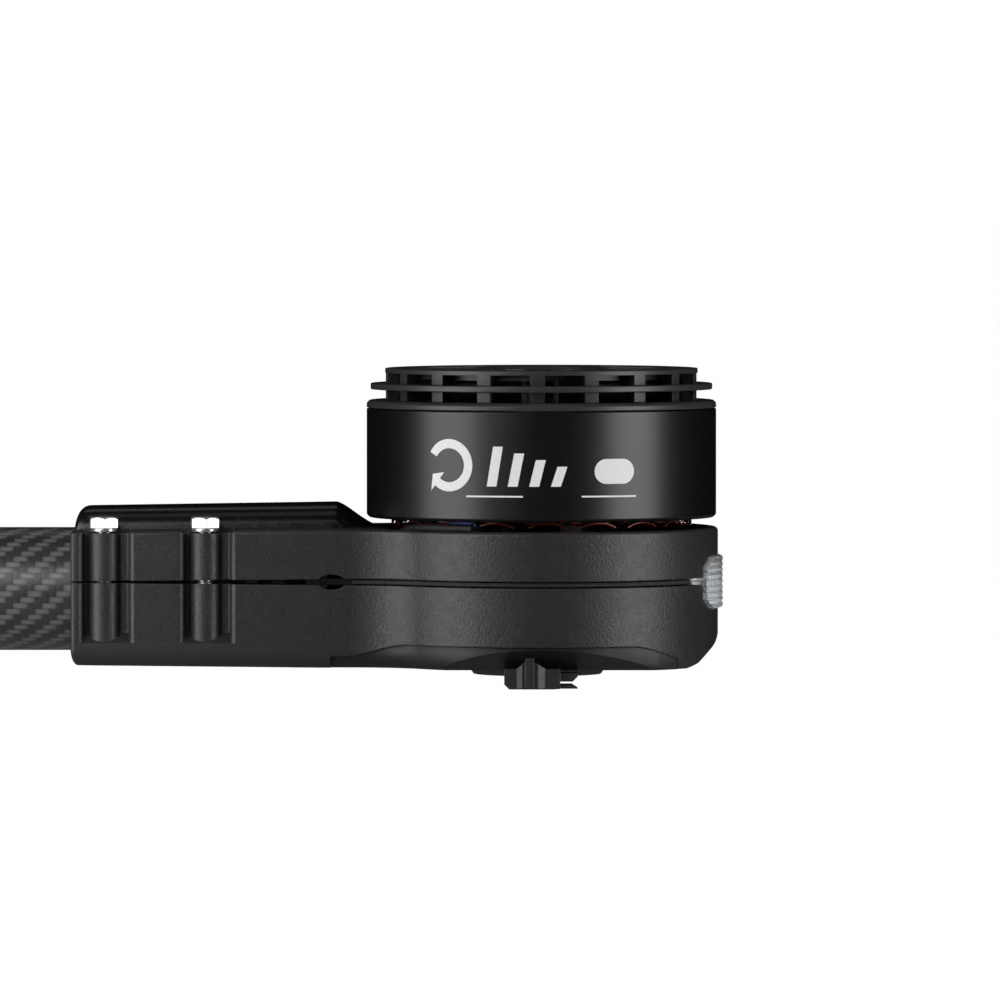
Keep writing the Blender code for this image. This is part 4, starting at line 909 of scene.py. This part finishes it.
def controller_cover():
    """Heat-sink cover with slanted sides, cooling grooves below and a raised seat for the board above."""
    steps = 12
    rings = []
    for i in range(steps + 1):
        angle = math.pi / 2.0 * i / steps
        height = BASE_Z + BASE_EDGE * (1.0 - math.cos(angle))
        rounding = BASE_EDGE * (1.0 - math.sin(angle))
        rings.append([(x, y - math.copysign(min(rounding * edge_share(x), abs(y)), y), height)
                      for x, y in cover_plan()])
    rings.append([(x, y, WINDOW_Z + OVERSHOOT) for x, y in cover_plan()])
    piece = loft("cover", rings)
    spread = POD_RADIUS - COVER_FOOT_Y
    rise = WINDOW_Z - BASE_Z
    half = [(COVER_FOOT_Y - spread, BASE_Z - rise), (POD_RADIUS + spread, WINDOW_Z + rise)]
    slant = prism("cover_slant", half + [(-y, z) for y, z in reversed(half)], MOUTH_X, MOTOR_X + BESIDE, "YZ")
    keep_inside(piece, slant)
    keep_inside(piece, side_window("cover_window", COVER_GAP))
    cut(piece, tip_chamfer("cover_tip"))
    join(piece, box("board_seat", (0.1120, -0.0200, WINDOW_Z - 0.002), (0.1680, 0.0200, -0.0095)))
    groove_half_width = 0.0008
    groove_top_z = BASE_Z + 0.0018
    for i in range(3):
        for side in (-1, 1):
            middle = side * (0.0230 + 0.0030 * i)
            reach = 0.024 - 0.003 * i
            groove = capsule(MOTOR_X - reach, MOTOR_X + reach, middle - groove_half_width,
                             middle + groove_half_width)
            cut(piece, prism(f"groove_{i}_{side}", groove, BASE_Z - OVERSHOOT, groove_top_z))
    for i, (low, high) in enumerate(cover_screw_places()):
        place = ((low.x + high.x) / 2.0, (low.y + high.y) / 2.0)
        cut(piece, cylinder(f"cover_hole_{i}", 0.0016, -0.03, 0.0, place))
        cut(piece, cylinder(f"cover_sink_{i}", 0.0030, -0.03, BASE_Z + 0.0017, place, 48))
    settle(piece)
    dress(piece, COVER, "pod", "cover_black", "controller_cover")
    return smooth(piece)


def seam_fillers():
    """Inner lip of each seam strip, which closes the slot's end hole from inside."""
    for name, side in (("seam_lip_right", -1), ("seam_lip_left", 1)):
        outline = rounded([(0.0868, 0.0186), (0.0990, 0.0186), (0.0990, 0.0202), (0.0868, 0.0202)], 0.0005)
        low = SEAM_Z - SEAM_HALF_MOTOR
        piece = prism(name, [(x, side * y) for x, y in outline], low, low + 2.0 * SEAM_HALF_MOTOR)
        dress(piece, RUBBER, "pod", "rubber_black")


# ---- Tube and bolts --------------------------------------------------------------------------------------
def arm_tube():
    profile = rounded(ring_profile(TUBE_RADIUS - TUBE_WALL, TUBE_RADIUS, 0.0, TUBE_LENGTH), 0.0002, 3)
    piece = turned("tube", profile, 160, along_x=True)
    dress(piece, CARBON, "pod", "carbon_fibre", "arm_tube")
    return smooth(piece)


def clamp_bolt(name, x, side, node):
    """Hex bolt: chamfered head on a round collar, and a shank with a thread."""
    centre = (x, side * BOLT_Y)
    collar_top = BOLT_SEAT_Z + 0.0011
    corner = BOLT_HEX / math.sqrt(3.0)
    crown = [(0.0, BOLT_TOP_Z - 0.0001), (0.0016, BOLT_TOP_Z - 0.0001), (0.0019, BOLT_TOP_Z),
             (BOLT_HEX / 2.0 - 0.0002, BOLT_TOP_Z), (corner + 0.0001, BOLT_TOP_Z - 0.0006),
             (corner + 0.0001, collar_top), (0.0, collar_top)]
    head = turned(name, crown, 96, centre)
    keep_inside(head, cylinder(name + "_hexagon", corner, 0.0, 0.030, centre, 6, math.radians(-5.5 * side)))
    end = INSERT_TOP_Z - INSERT_LENGTH + 0.0010
    collar_radius = 0.0032
    neck = [(0.0, collar_top + 0.0003), (0.0029, collar_top + 0.0003), (collar_radius, collar_top - 0.0002),
            (collar_radius, BOLT_SEAT_Z + FIT), (BOLT_RADIUS, BOLT_SEAT_Z + FIT)]
    thread = 0.0007
    thread_depth = 0.00025
    thread_top_z = BOLT_SEAT_Z - 0.001
    for i in range(int((thread_top_z - end) / thread)):
        low = thread_top_z - i * thread
        neck += [(BOLT_RADIUS, low), (BOLT_RADIUS - thread_depth, low - thread / 2.0)]
    neck += [(BOLT_RADIUS - 0.0003, end), (0.0, end)]
    join(head, turned(name + "_neck", neck, 48, centre))
    settle(head)
    bevelled = head.modifiers.new("edge", "BEVEL")
    bevelled.width = 0.00012
    bevelled.segments = 2
    bevelled.limit_method = "ANGLE"
    bevelled.angle_limit = math.radians(35.0)
    dress(head, CHROME, "pod", "bolt_steel", node)
    return smooth(head, 25.0)


# ---- Lamp ------------------------------------------------------------------------------------------------
def lamp_lens():
    """Clear lens: level ribs that bulge outwards, upright flutes inside."""
    pitch = 2.0 * LAMP_HALF_HEIGHT / LAMP_RIBS
    flute = 0.00035
    levels = []
    for i in range(LAMP_RIBS):
        for part in (0.0, 0.08, 0.2, 0.35, 0.5, 0.65, 0.8, 0.92):
            bulge = math.sqrt(max(1.0 - (2.0 * part - 1.0) ** 2, 0.0))
            levels.append((-LAMP_HALF_HEIGHT + (i + part) * pitch, LAMP_RADIUS - RIB_DEPTH * (1.0 - bulge)))
    levels.append((LAMP_HALF_HEIGHT, LAMP_RADIUS - RIB_DEPTH))
    rings = [lamp_ring(offset, radius, LAMP_INNER_RADIUS, 0.0, 48, flute) for offset, radius in levels]
    piece = loft("lens", rings)
    dress(piece, CLEAR, "pod", "lens_clear", "lamp_lens")
    return smooth(piece, 40.0)


def lamp_reflector():
    """White curved sheet behind the lens."""
    half = 21.0
    outline = arc(MOTOR_X, 0.0, 0.0390, -half, half, 24) + arc(MOTOR_X, 0.0, 0.0382, half, -half, 24)
    rings = [[(x, y, LAMP_Z + offset) for x, y in outline]
             for offset in (-0.0060, -0.0035, -0.0010, 0.0015, 0.0026)]
    piece = loft("lamp_reflector", rings)
    dress(piece, WHITE_PLASTIC, "pod", "lens_clear")
    return smooth(piece)


# ---- Bell ------------------------------------------------------------------------------------------------
def flux_ring():
    low, high = RING_LOW.z, RING_HIGH.z
    edge = 0.0007
    profile = rounded([
        (BELL_RADIUS, high), (BELL_RADIUS, low + edge), (BELL_RADIUS - edge, low), (RING_BORE, low),
        (RING_BORE, high),
    ], 0.00018)
    piece = turned("bell_ring", profile)
    dress(piece, BELL, "rotor", "bell_black", "flux_ring")
    return smooth(piece)


def window_wedges(name, low_z, high_z):
    """The openings of one row of the cap's cooling windows."""
    bm = bmesh.new()
    pitch = math.tau / POST_COUNT
    inner, outer = 0.0330, 0.0395
    gap = math.tau * CAP_RADIUS / POST_COUNT - POST_WIDTH
    size = Vector((outer - inner, gap, high_z - low_z))
    for i in range(POST_COUNT):
        angle = -math.pi / 2.0 + POST_TURN + pitch * (i + 0.5)
        place = Matrix.Translation((MOTOR_X, 0.0, (low_z + high_z) / 2.0)) @ Matrix.Rotation(angle, 4, "Z")
        place = place @ Matrix.Translation(((inner + outer) / 2.0, 0.0, 0.0)) @ Matrix.Diagonal((*size, 1.0))
        bmesh.ops.create_cube(bm, size=1.0, matrix=place)
    return from_bmesh(name, bm)


def vent(name, angle):
    """One kidney-shaped vent in the cap's top, centred on the given angle in degrees."""
    half = 13.5
    outline = arc(MOTOR_X, 0.0, 0.0305, angle - half, angle + half, 14)
    outline += arc(MOTOR_X, 0.0, 0.0165, angle + half - 3.0, angle - half + 3.0, 10)
    return prism(name, rounded(outline, 0.0012), 0.0480, 0.0560)


def fan_blades():
    """Radial blades under the cap's top, one behind each post, rounded at their lower edges."""
    inner, outer = BLADE_ENDS
    low, high = BLADE_Z
    half = BLADE_THICKNESS / 2.0
    bm = bmesh.new()
    for i in range(POST_COUNT):
        angle = -math.pi / 2.0 + POST_TURN + math.tau * i / POST_COUNT
        place = Matrix.Translation((MOTOR_X, 0.0, 0.0)) @ Matrix.Rotation(angle, 4, "Z")
        section = [(-half, high), (-half, low + half)] + arc(0.0, low + half, half, 180.0, 360.0, 6)[1:]
        section.append((half, high))
        rows = [[bm.verts.new(place @ Vector((reach, across, height))) for across, height in section]
                for reach in (inner, outer)]
        for k in range(len(section)):
            j = (k + 1) % len(section)
            bm.faces.new((rows[0][k], rows[0][j], rows[1][j], rows[1][k]))
        bm.faces.new(rows[0])
        bm.faces.new(rows[1])
    return from_bmesh("fan_blades", bm)


def bell_cap():
    """Bell cap: flange, two rows of windows with a fin ring between, vented top, hub for the shaft."""
    edge = 0.0007
    top = CAP_HIGH.z
    bottom = RING_HIGH.z + 0.00025
    profile = rounded([
        (CAP_RADIUS, top), (CAP_RADIUS, FIN_Z[1]), (FIN_RADIUS, FIN_Z[1]), (FIN_RADIUS, FIN_Z[0]),
        (CAP_RADIUS, FIN_Z[0]), (CAP_RADIUS, FLANGE_TOP_Z), (BELL_RADIUS - edge, FLANGE_TOP_Z),
        (BELL_RADIUS, FLANGE_TOP_Z - edge), (BELL_RADIUS, bottom), (0.0352, bottom), (0.0352, CAP_PLATE_Z),
        (HUB_RADIUS, CAP_PLATE_Z), (HUB_RADIUS, HUB_BOTTOM_Z), (SHAFT_RADIUS + FIT, HUB_BOTTOM_Z),
        (SHAFT_RADIUS + FIT, top - 0.0012), (0.0068, top - 0.0012), (0.0068, top - 0.0004),
        (0.0100, top - 0.0004), (0.0104, top),
    ], 0.0003)
    piece = turned("bell_top", profile)
    cut(piece, window_wedges("lower_windows", FLANGE_TOP_Z, FIN_Z[0]))
    cut(piece, window_wedges("upper_windows", FIN_Z[1], CAP_WINDOW_TOP_Z))
    for i in range(VENT_COUNT):
        cut(piece, vent(f"vent_{i}", -90.0 + math.degrees(POST_TURN) + 360.0 * (i + 0.5) / VENT_COUNT))
    hole_circle = 0.0125
    for i in range(4):
        angle = math.radians(45.0 + 90.0 * i)
        place = (MOTOR_X + hole_circle * math.cos(angle), hole_circle * math.sin(angle))
        cut(piece, cylinder(f"propeller_hole_{i}", 0.0015, 0.0480, 0.0560, place, 40))
    join(piece, fan_blades())
    settle(piece)
    dress(piece, CAP, "rotor", "cap_black", "bell_cap")
    return smooth(piece)


def shaft_end():
    """Ground shaft with a chamfered, centre-drilled end, seen in the cap's hub."""
    low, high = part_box("shaft")
    radius = SHAFT_RADIUS
    profile = [
        (0.0, high.z - 0.0010), (0.0010, high.z), (radius - 0.0004, high.z), (radius, high.z - 0.0004),
        (radius, low.z + 0.0003), (radius - 0.0003, low.z), (0.0, low.z),
    ]
    piece = turned("motor_shaft", profile, 96)
    dress(piece, STEEL, "rotor", "bearing_steel", "shaft")
    return smooth(piece)


# ---- Print on the bell -----------------------------------------------------------------------------------
def print_patch(name, outline):
    """A thin white shape on the bell's front, its outline in metres round the bell and up from its middle."""
    print_top = 0.00007
    print_foot = 0.00001
    bm = bmesh.new()
    bm.faces.new([bm.verts.new((u, 0.0, v)) for u, v in outline])
    start = min(u for u, _ in outline)
    end = max(u for u, _ in outline)
    step = 0.001
    for i in range(1, int((end - start) / step) + 1):
        everything = bm.verts[:] + bm.edges[:] + bm.faces[:]
        bmesh.ops.bisect_plane(bm, geom=everything, plane_co=(start + i * step, 0, 0), plane_no=(1, 0, 0))
    flat = bm.faces[:]
    grown = bmesh.ops.extrude_face_region(bm, geom=flat)
    raised = {item for item in grown["geom"] if isinstance(item, bmesh.types.BMVert)}
    middle_z = (RING_LOW.z + RING_HIGH.z) / 2.0
    for vert in bm.verts:
        radius = BELL_RADIUS + (print_top if vert in raised else print_foot)
        angle = -math.pi / 2.0 + vert.co.x / BELL_RADIUS
        vert.co = (MOTOR_X + radius * math.cos(angle), radius * math.sin(angle), middle_z + vert.co.z)
    piece = from_bmesh(name, bm)
    return dress(piece, PRINT, "rotor", "bell_black")


def turn_arrow(radius, width, start, end, steps=40):
    """Outline of a curved arrow that shows which way the motor turns."""
    outer = arc(0.0, 0.0, radius + width / 2.0, start, end, steps)
    inner = arc(0.0, 0.0, radius - width / 2.0, end, start, steps)
    tip_turn = math.radians(end - 26.0)
    tip = (radius * math.cos(tip_turn), radius * math.sin(tip_turn))
    wide = [(r * math.cos(math.radians(end)), r * math.sin(math.radians(end)))
            for r in (radius + width * 1.35, radius - width * 1.35)]
    return outer + [wide[0], tip, wide[1]] + inner


def moved(outline, u, v):
    return [(x + u, z + v) for x, z in outline]


def bell_print():
    """Generic marks: a turning arrow, four slanted bars, a round-ended badge and two thin rules."""
    print_patch("print_arrow", moved(turn_arrow(0.0052, 0.0022, 150.0, -130.0), -0.0235, 0.0004))
    width = 0.0024
    lean = 0.0016
    for i in range(4):
        left = -0.0135 + 0.0052 * i
        foot, head = -0.0046, 0.0050 - 0.0016 * i
        bar = [(left, foot), (left + width, foot), (left + width + lean, head), (left + lean, head)]
        print_patch(f"print_bar_{i + 1}", bar)
    print_patch("print_badge", capsule(0.0128, 0.0232, -0.0040, 0.0020))
    for name, left, right in (("print_rule_1", -0.0188, -0.0046), ("print_rule_2", 0.0096, 0.0238)):
        print_patch(name, [(left, -0.0072), (right, -0.0072), (right, -0.0068), (left, -0.0068)])


# ---- Windings --------------------------------------------------------------------------------------------
def wire_loop(bm, points, radius, sides=7):
    """A closed run of round wire through the points."""
    count = len(points)
    rings = []
    for i in range(count):
        before, here, after = points[i - 1], points[i], points[(i + 1) % count]
        forward = (after - before).normalized()
        outward = (here - Vector((MOTOR_X, 0.0, here.z))).normalized()
        side = forward.cross(outward).normalized()
        out = side.cross(forward)
        ring = []
        for k in range(sides):
            angle = math.tau * k / sides
            ring.append(bm.verts.new(here + (side * math.cos(angle) + out * math.sin(angle)) * radius))
        rings.append(ring)
    for near, far in zip(rings, rings[1:] + rings[:1]):
        for k in range(sides):
            j = (k + 1) % sides
            bm.faces.new((near[k], near[j], far[j], far[k]))


def coil_path(radius, half_width, low, high, corner, jitter):
    """One turn of wire round a tooth, at +X from the axis: a rectangle with round corners."""
    deepest_sag = 0.0004
    corners = [(-half_width, low), (half_width, low), (half_width, high), (-half_width, high)]
    path = []
    for across, height in rounded(corners, corner, 5):
        sag = deepest_sag * math.cos(across / half_width * math.pi / 2.0)
        drop = -sag if height < (low + high) / 2.0 else sag
        path.append(Vector((radius + jitter, across, height + drop)))
    return path


def windings():
    """Eighteen coils, each wound turn by turn round its tooth between two slots."""
    draw = random.Random(7)
    wire = 0.00056
    overhang = 0.0011
    unevenness = 0.0005
    bm = bmesh.new()
    for tooth in range(TOOTH_COUNT):
        angle = math.tau * (tooth + 0.5) / TOOTH_COUNT
        turn = Matrix.Translation((MOTOR_X, 0.0, 0.0)) @ Matrix.Rotation(angle, 4, "Z")
        for k in range(11):
            radius = 0.02275 + 0.00120 * k
            tooth_half = math.pi * radius / TOOTH_COUNT - 0.0018
            half = tooth_half + wire + 0.00025
            low = CORE_Z[0] - overhang - draw.uniform(0.0, unevenness)
            high = CORE_Z[1] + overhang + draw.uniform(0.0, unevenness)
            path = coil_path(radius, half, low, high, 0.0012, draw.uniform(-0.00008, 0.00008))
            wire_loop(bm, [turn @ point for point in path], wire)
            if k > 1:
                low -= 0.00115
                high += 0.00105
                half = tooth_half + wire + 0.00080
                path = coil_path(radius - 0.0006, half, low, high, 0.0022, draw.uniform(-0.0001, 0.0001))
                wire_loop(bm, [turn @ point for point in path], wire)
    piece = from_bmesh("coils", bm)
    dress(piece, ENAMELLED, "pod", "enamelled_wire", "windings")
    return smooth(piece, 60.0)


def crossover_wires():
    """Thin wires that arch from coil to coil under the windings, near the bell's wall."""
    wire = 0.00026
    reach = 0.0364
    half_span = math.radians(7.0)
    steps = 12
    bm = bmesh.new()
    for tooth in range(TOOTH_COUNT):
        middle = math.radians(-88.0) + math.tau * tooth / TOOTH_COUNT
        path = []
        for i in range(steps + 1):
            part = i / steps
            angle = middle + half_span * (2.0 * part - 1.0)
            height = 0.0160 + 0.0011 * math.sin(math.pi * part) ** 0.7
            path.append(Vector((MOTOR_X + reach * math.cos(angle), reach * math.sin(angle), height)))
        back = [Vector((MOTOR_X + (point.x - MOTOR_X) * 0.975, point.y * 0.975, point.z - 0.0001))
                for point in reversed(path)]
        wire_loop(bm, path + back, wire)
    piece = from_bmesh("crossovers", bm)
    dress(piece, ENAMELLED, "pod", "enamelled_wire")
    return smooth(piece, 60.0)


def lead_sleeve():
    """Blue heat-shrink sleeve where a phase lead joins the windings."""
    curve_points = [(0.1218, -0.0300, 0.0164), (0.1238, -0.0312, 0.0168), (0.1258, -0.0325, 0.0168),
                    (0.1278, -0.0336, 0.0165)]
    steps = 20
    rings = []
    for i, point in enumerate(curve_points):
        radius = 0.0008 if i in (0, len(curve_points) - 1) else 0.0009
        ring = []
        for k in range(steps):
            angle = math.tau * k / steps
            out = Vector((-0.53 * math.cos(angle), 0.85 * math.cos(angle), math.sin(angle)))
            ring.append(Vector(point) + out * radius)
        rings.append(ring)
    piece = loft("lead_sleeve", rings)
    dress(piece, BLUE_SLEEVE, "pod", "lead_sheath")
    return smooth(piece, 60.0)


# ---- Carried-over nodes ----------------------------------------------------------------------------------
NODE_FINISHES = {
    "seam_gasket": RUBBER, "cable_grommet": RUBBER, "lamp_board": BOARD,
    "thermal_pad": PAD_GREY, "controller_board": BOARD, "capacitor": CAN, "phase_lead": SHEATH,
    "nozzle_pad": NYLON, "nozzle_clip": NYLON, "motor_base": BELL, "lower_bearing": STEEL,
    "upper_bearing": STEEL, "stator_core": LAMINATED, "clamp_insert": BRASS, "cover_screw": CHROME,
    "motor_screw": CHROME, "pad_screw": CHROME, "shaft_ring": STEEL, "magnet_ring": NICKEL,
}


def finish_nodes():
    """Gives every node that is still shown its procedural material and smooth shading."""
    for name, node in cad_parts.items():
        if node.hide_render:
            continue
        finish = next((made for start, made in NODE_FINISHES.items() if name.startswith(start)), None)
        if finish is None:
            raise ValueError(f"no finish for {name}")
        node.data.materials.clear()
        node.data.materials.append(finish)
        smooth(node)


# ---- Studio ----------------------------------------------------------------------------------------------
CENTRE = Vector((0.1339, 0.0, 0.0216))
FIELD_WIDTH = 0.2439
CAMERA_DISTANCE = 2.6
CAMERA_ELEVATION = math.radians(1.9)
FLOOR_Z = -0.110


def direction(azimuth, elevation):
    """Unit vector from the object towards a light; azimuth 0 is the camera's side, positive to the right."""
    a, e = math.radians(azimuth), math.radians(elevation)
    return Vector((math.sin(a) * math.cos(e), -math.cos(a) * math.cos(e), math.sin(e)))


def area_light(name, azimuth, elevation, distance, width, height, power, target=None):
    lamp = bpy.data.lights.new(name, "AREA")
    lamp.shape = "RECTANGLE"
    lamp.size = width
    lamp.size_y = height
    lamp.energy = power
    placed_lamp = bpy.data.objects.new(name, lamp)
    aim = target or Vector((MOTOR_X, 0.0, 0.02))
    placed_lamp.location = aim + direction(azimuth, elevation) * distance
    placed_lamp.rotation_mode = "QUATERNION"
    placed_lamp.rotation_quaternion = direction(azimuth, elevation).to_track_quat("Z", "Y")
    placed_lamp.visible_camera = False
    bpy.context.scene.collection.objects.link(placed_lamp)


def studio():
    scene = bpy.context.scene
    scene.view_settings.view_transform = "Standard"
    world = bpy.data.worlds.new("studio")
    scene.world = world
    world.use_nodes = True
    world.node_tree.nodes["Background"].inputs["Color"].default_value = (1.0, 1.0, 1.0, 1.0)
    world.node_tree.nodes["Background"].inputs["Strength"].default_value = 1.0
    world.cycles_visibility.diffuse = False
    world.cycles_visibility.glossy = False
    world.cycles_visibility.transmission = True
    area_light("strip_left", -60.0, 6.0, 0.36, 0.24, 0.40, 1.05)
    area_light("strip_right", 60.0, 6.0, 0.40, 0.24, 0.40, 1.25)
    area_light("front_box", 0.0, 34.0, 0.90, 0.60, 0.08, 0.15)
    area_light("arm_box", -12.0, 24.0, 0.36, 0.16, 0.16, 0.20, Vector((0.02, 0.0, 0.0)))
    area_light("top_box", 0.0, 80.0, 0.90, 0.50, 0.40, 0.22)
    area_light("back_box", 180.0, 50.0, 0.90, 0.70, 0.25, 0.22)


def floor():
    """Faintly glowing sheet under the object, and a wide pale floor that only the camera sees."""
    bm = bmesh.new()
    bmesh.ops.create_circle(bm, cap_ends=True, segments=96, radius=0.60,
                            matrix=Matrix.Translation((CENTRE.x, 0.0, FLOOR_Z + 0.001)))
    sheet = from_bmesh("studio_sheet", bm)
    glowing = Surface("bright_sheet", (0.30, 0.30, 0.30), 0.9)
    glowing.set("Base Color", glowing.mix(glowing.noise(0.05), (0.28, 0.28, 0.28), (0.32, 0.32, 0.32)))
    glowing.set("Emission Color", (1.0, 1.0, 1.0, 1.0))
    glowing.set("Emission Strength", 0.03)
    sheet.data.materials.append(glowing.material)
    sheet.visible_camera = False
    bm = bmesh.new()
    bmesh.ops.create_grid(bm, x_segments=8, y_segments=8, size=30.0,
                          matrix=Matrix.Translation((0, 0, FLOOR_Z)))
    piece = from_bmesh("studio_floor", bm)
    surface = Surface("pale_floor", (0.86, 0.86, 0.86), 0.9)
    surface.set("Base Color", surface.mix(surface.noise(0.05), (0.84, 0.84, 0.84), (0.88, 0.88, 0.88)))
    surface.set("Emission Color", (1.0, 1.0, 1.0, 1.0))
    surface.set("Emission Strength", 1.0)
    piece.data.materials.append(surface.material)
    piece.visible_diffuse = False
    piece.visible_glossy = False


def camera():
    data = bpy.data.cameras.new("camera")
    data.sensor_width = 36.0
    data.lens = 36.0 * CAMERA_DISTANCE / FIELD_WIDTH
    data.clip_start = 0.1
    data.clip_end = 100.0
    view = bpy.data.objects.new("camera", data)
    back = direction(0.0, math.degrees(CAMERA_ELEVATION))
    view.location = CENTRE + back * CAMERA_DISTANCE
    view.rotation_euler = (math.pi / 2.0 - CAMERA_ELEVATION, 0.0, 0.0)
    bpy.context.scene.collection.objects.link(view)
    bpy.context.scene.camera = view


# ---- Assembly --------------------------------------------------------------------------------------------
def build():
    camera()
    studio()
    floor()
    arm_tube()
    upper_housing()
    lower_housing()
    controller_cover()
    seam_fillers()
    for i, (x, side) in enumerate(bolt_places()):
        clamp_bolt(f"bolt_{i + 1}", x, side, f"clamp_bolt_{i + 1}")
    lamp_lens()
    lamp_reflector()
    flux_ring()
    bell_cap()
    shaft_end()
    bell_print()
    windings()
    crossover_wires()
    lead_sleeve()
    finish_nodes()


build()
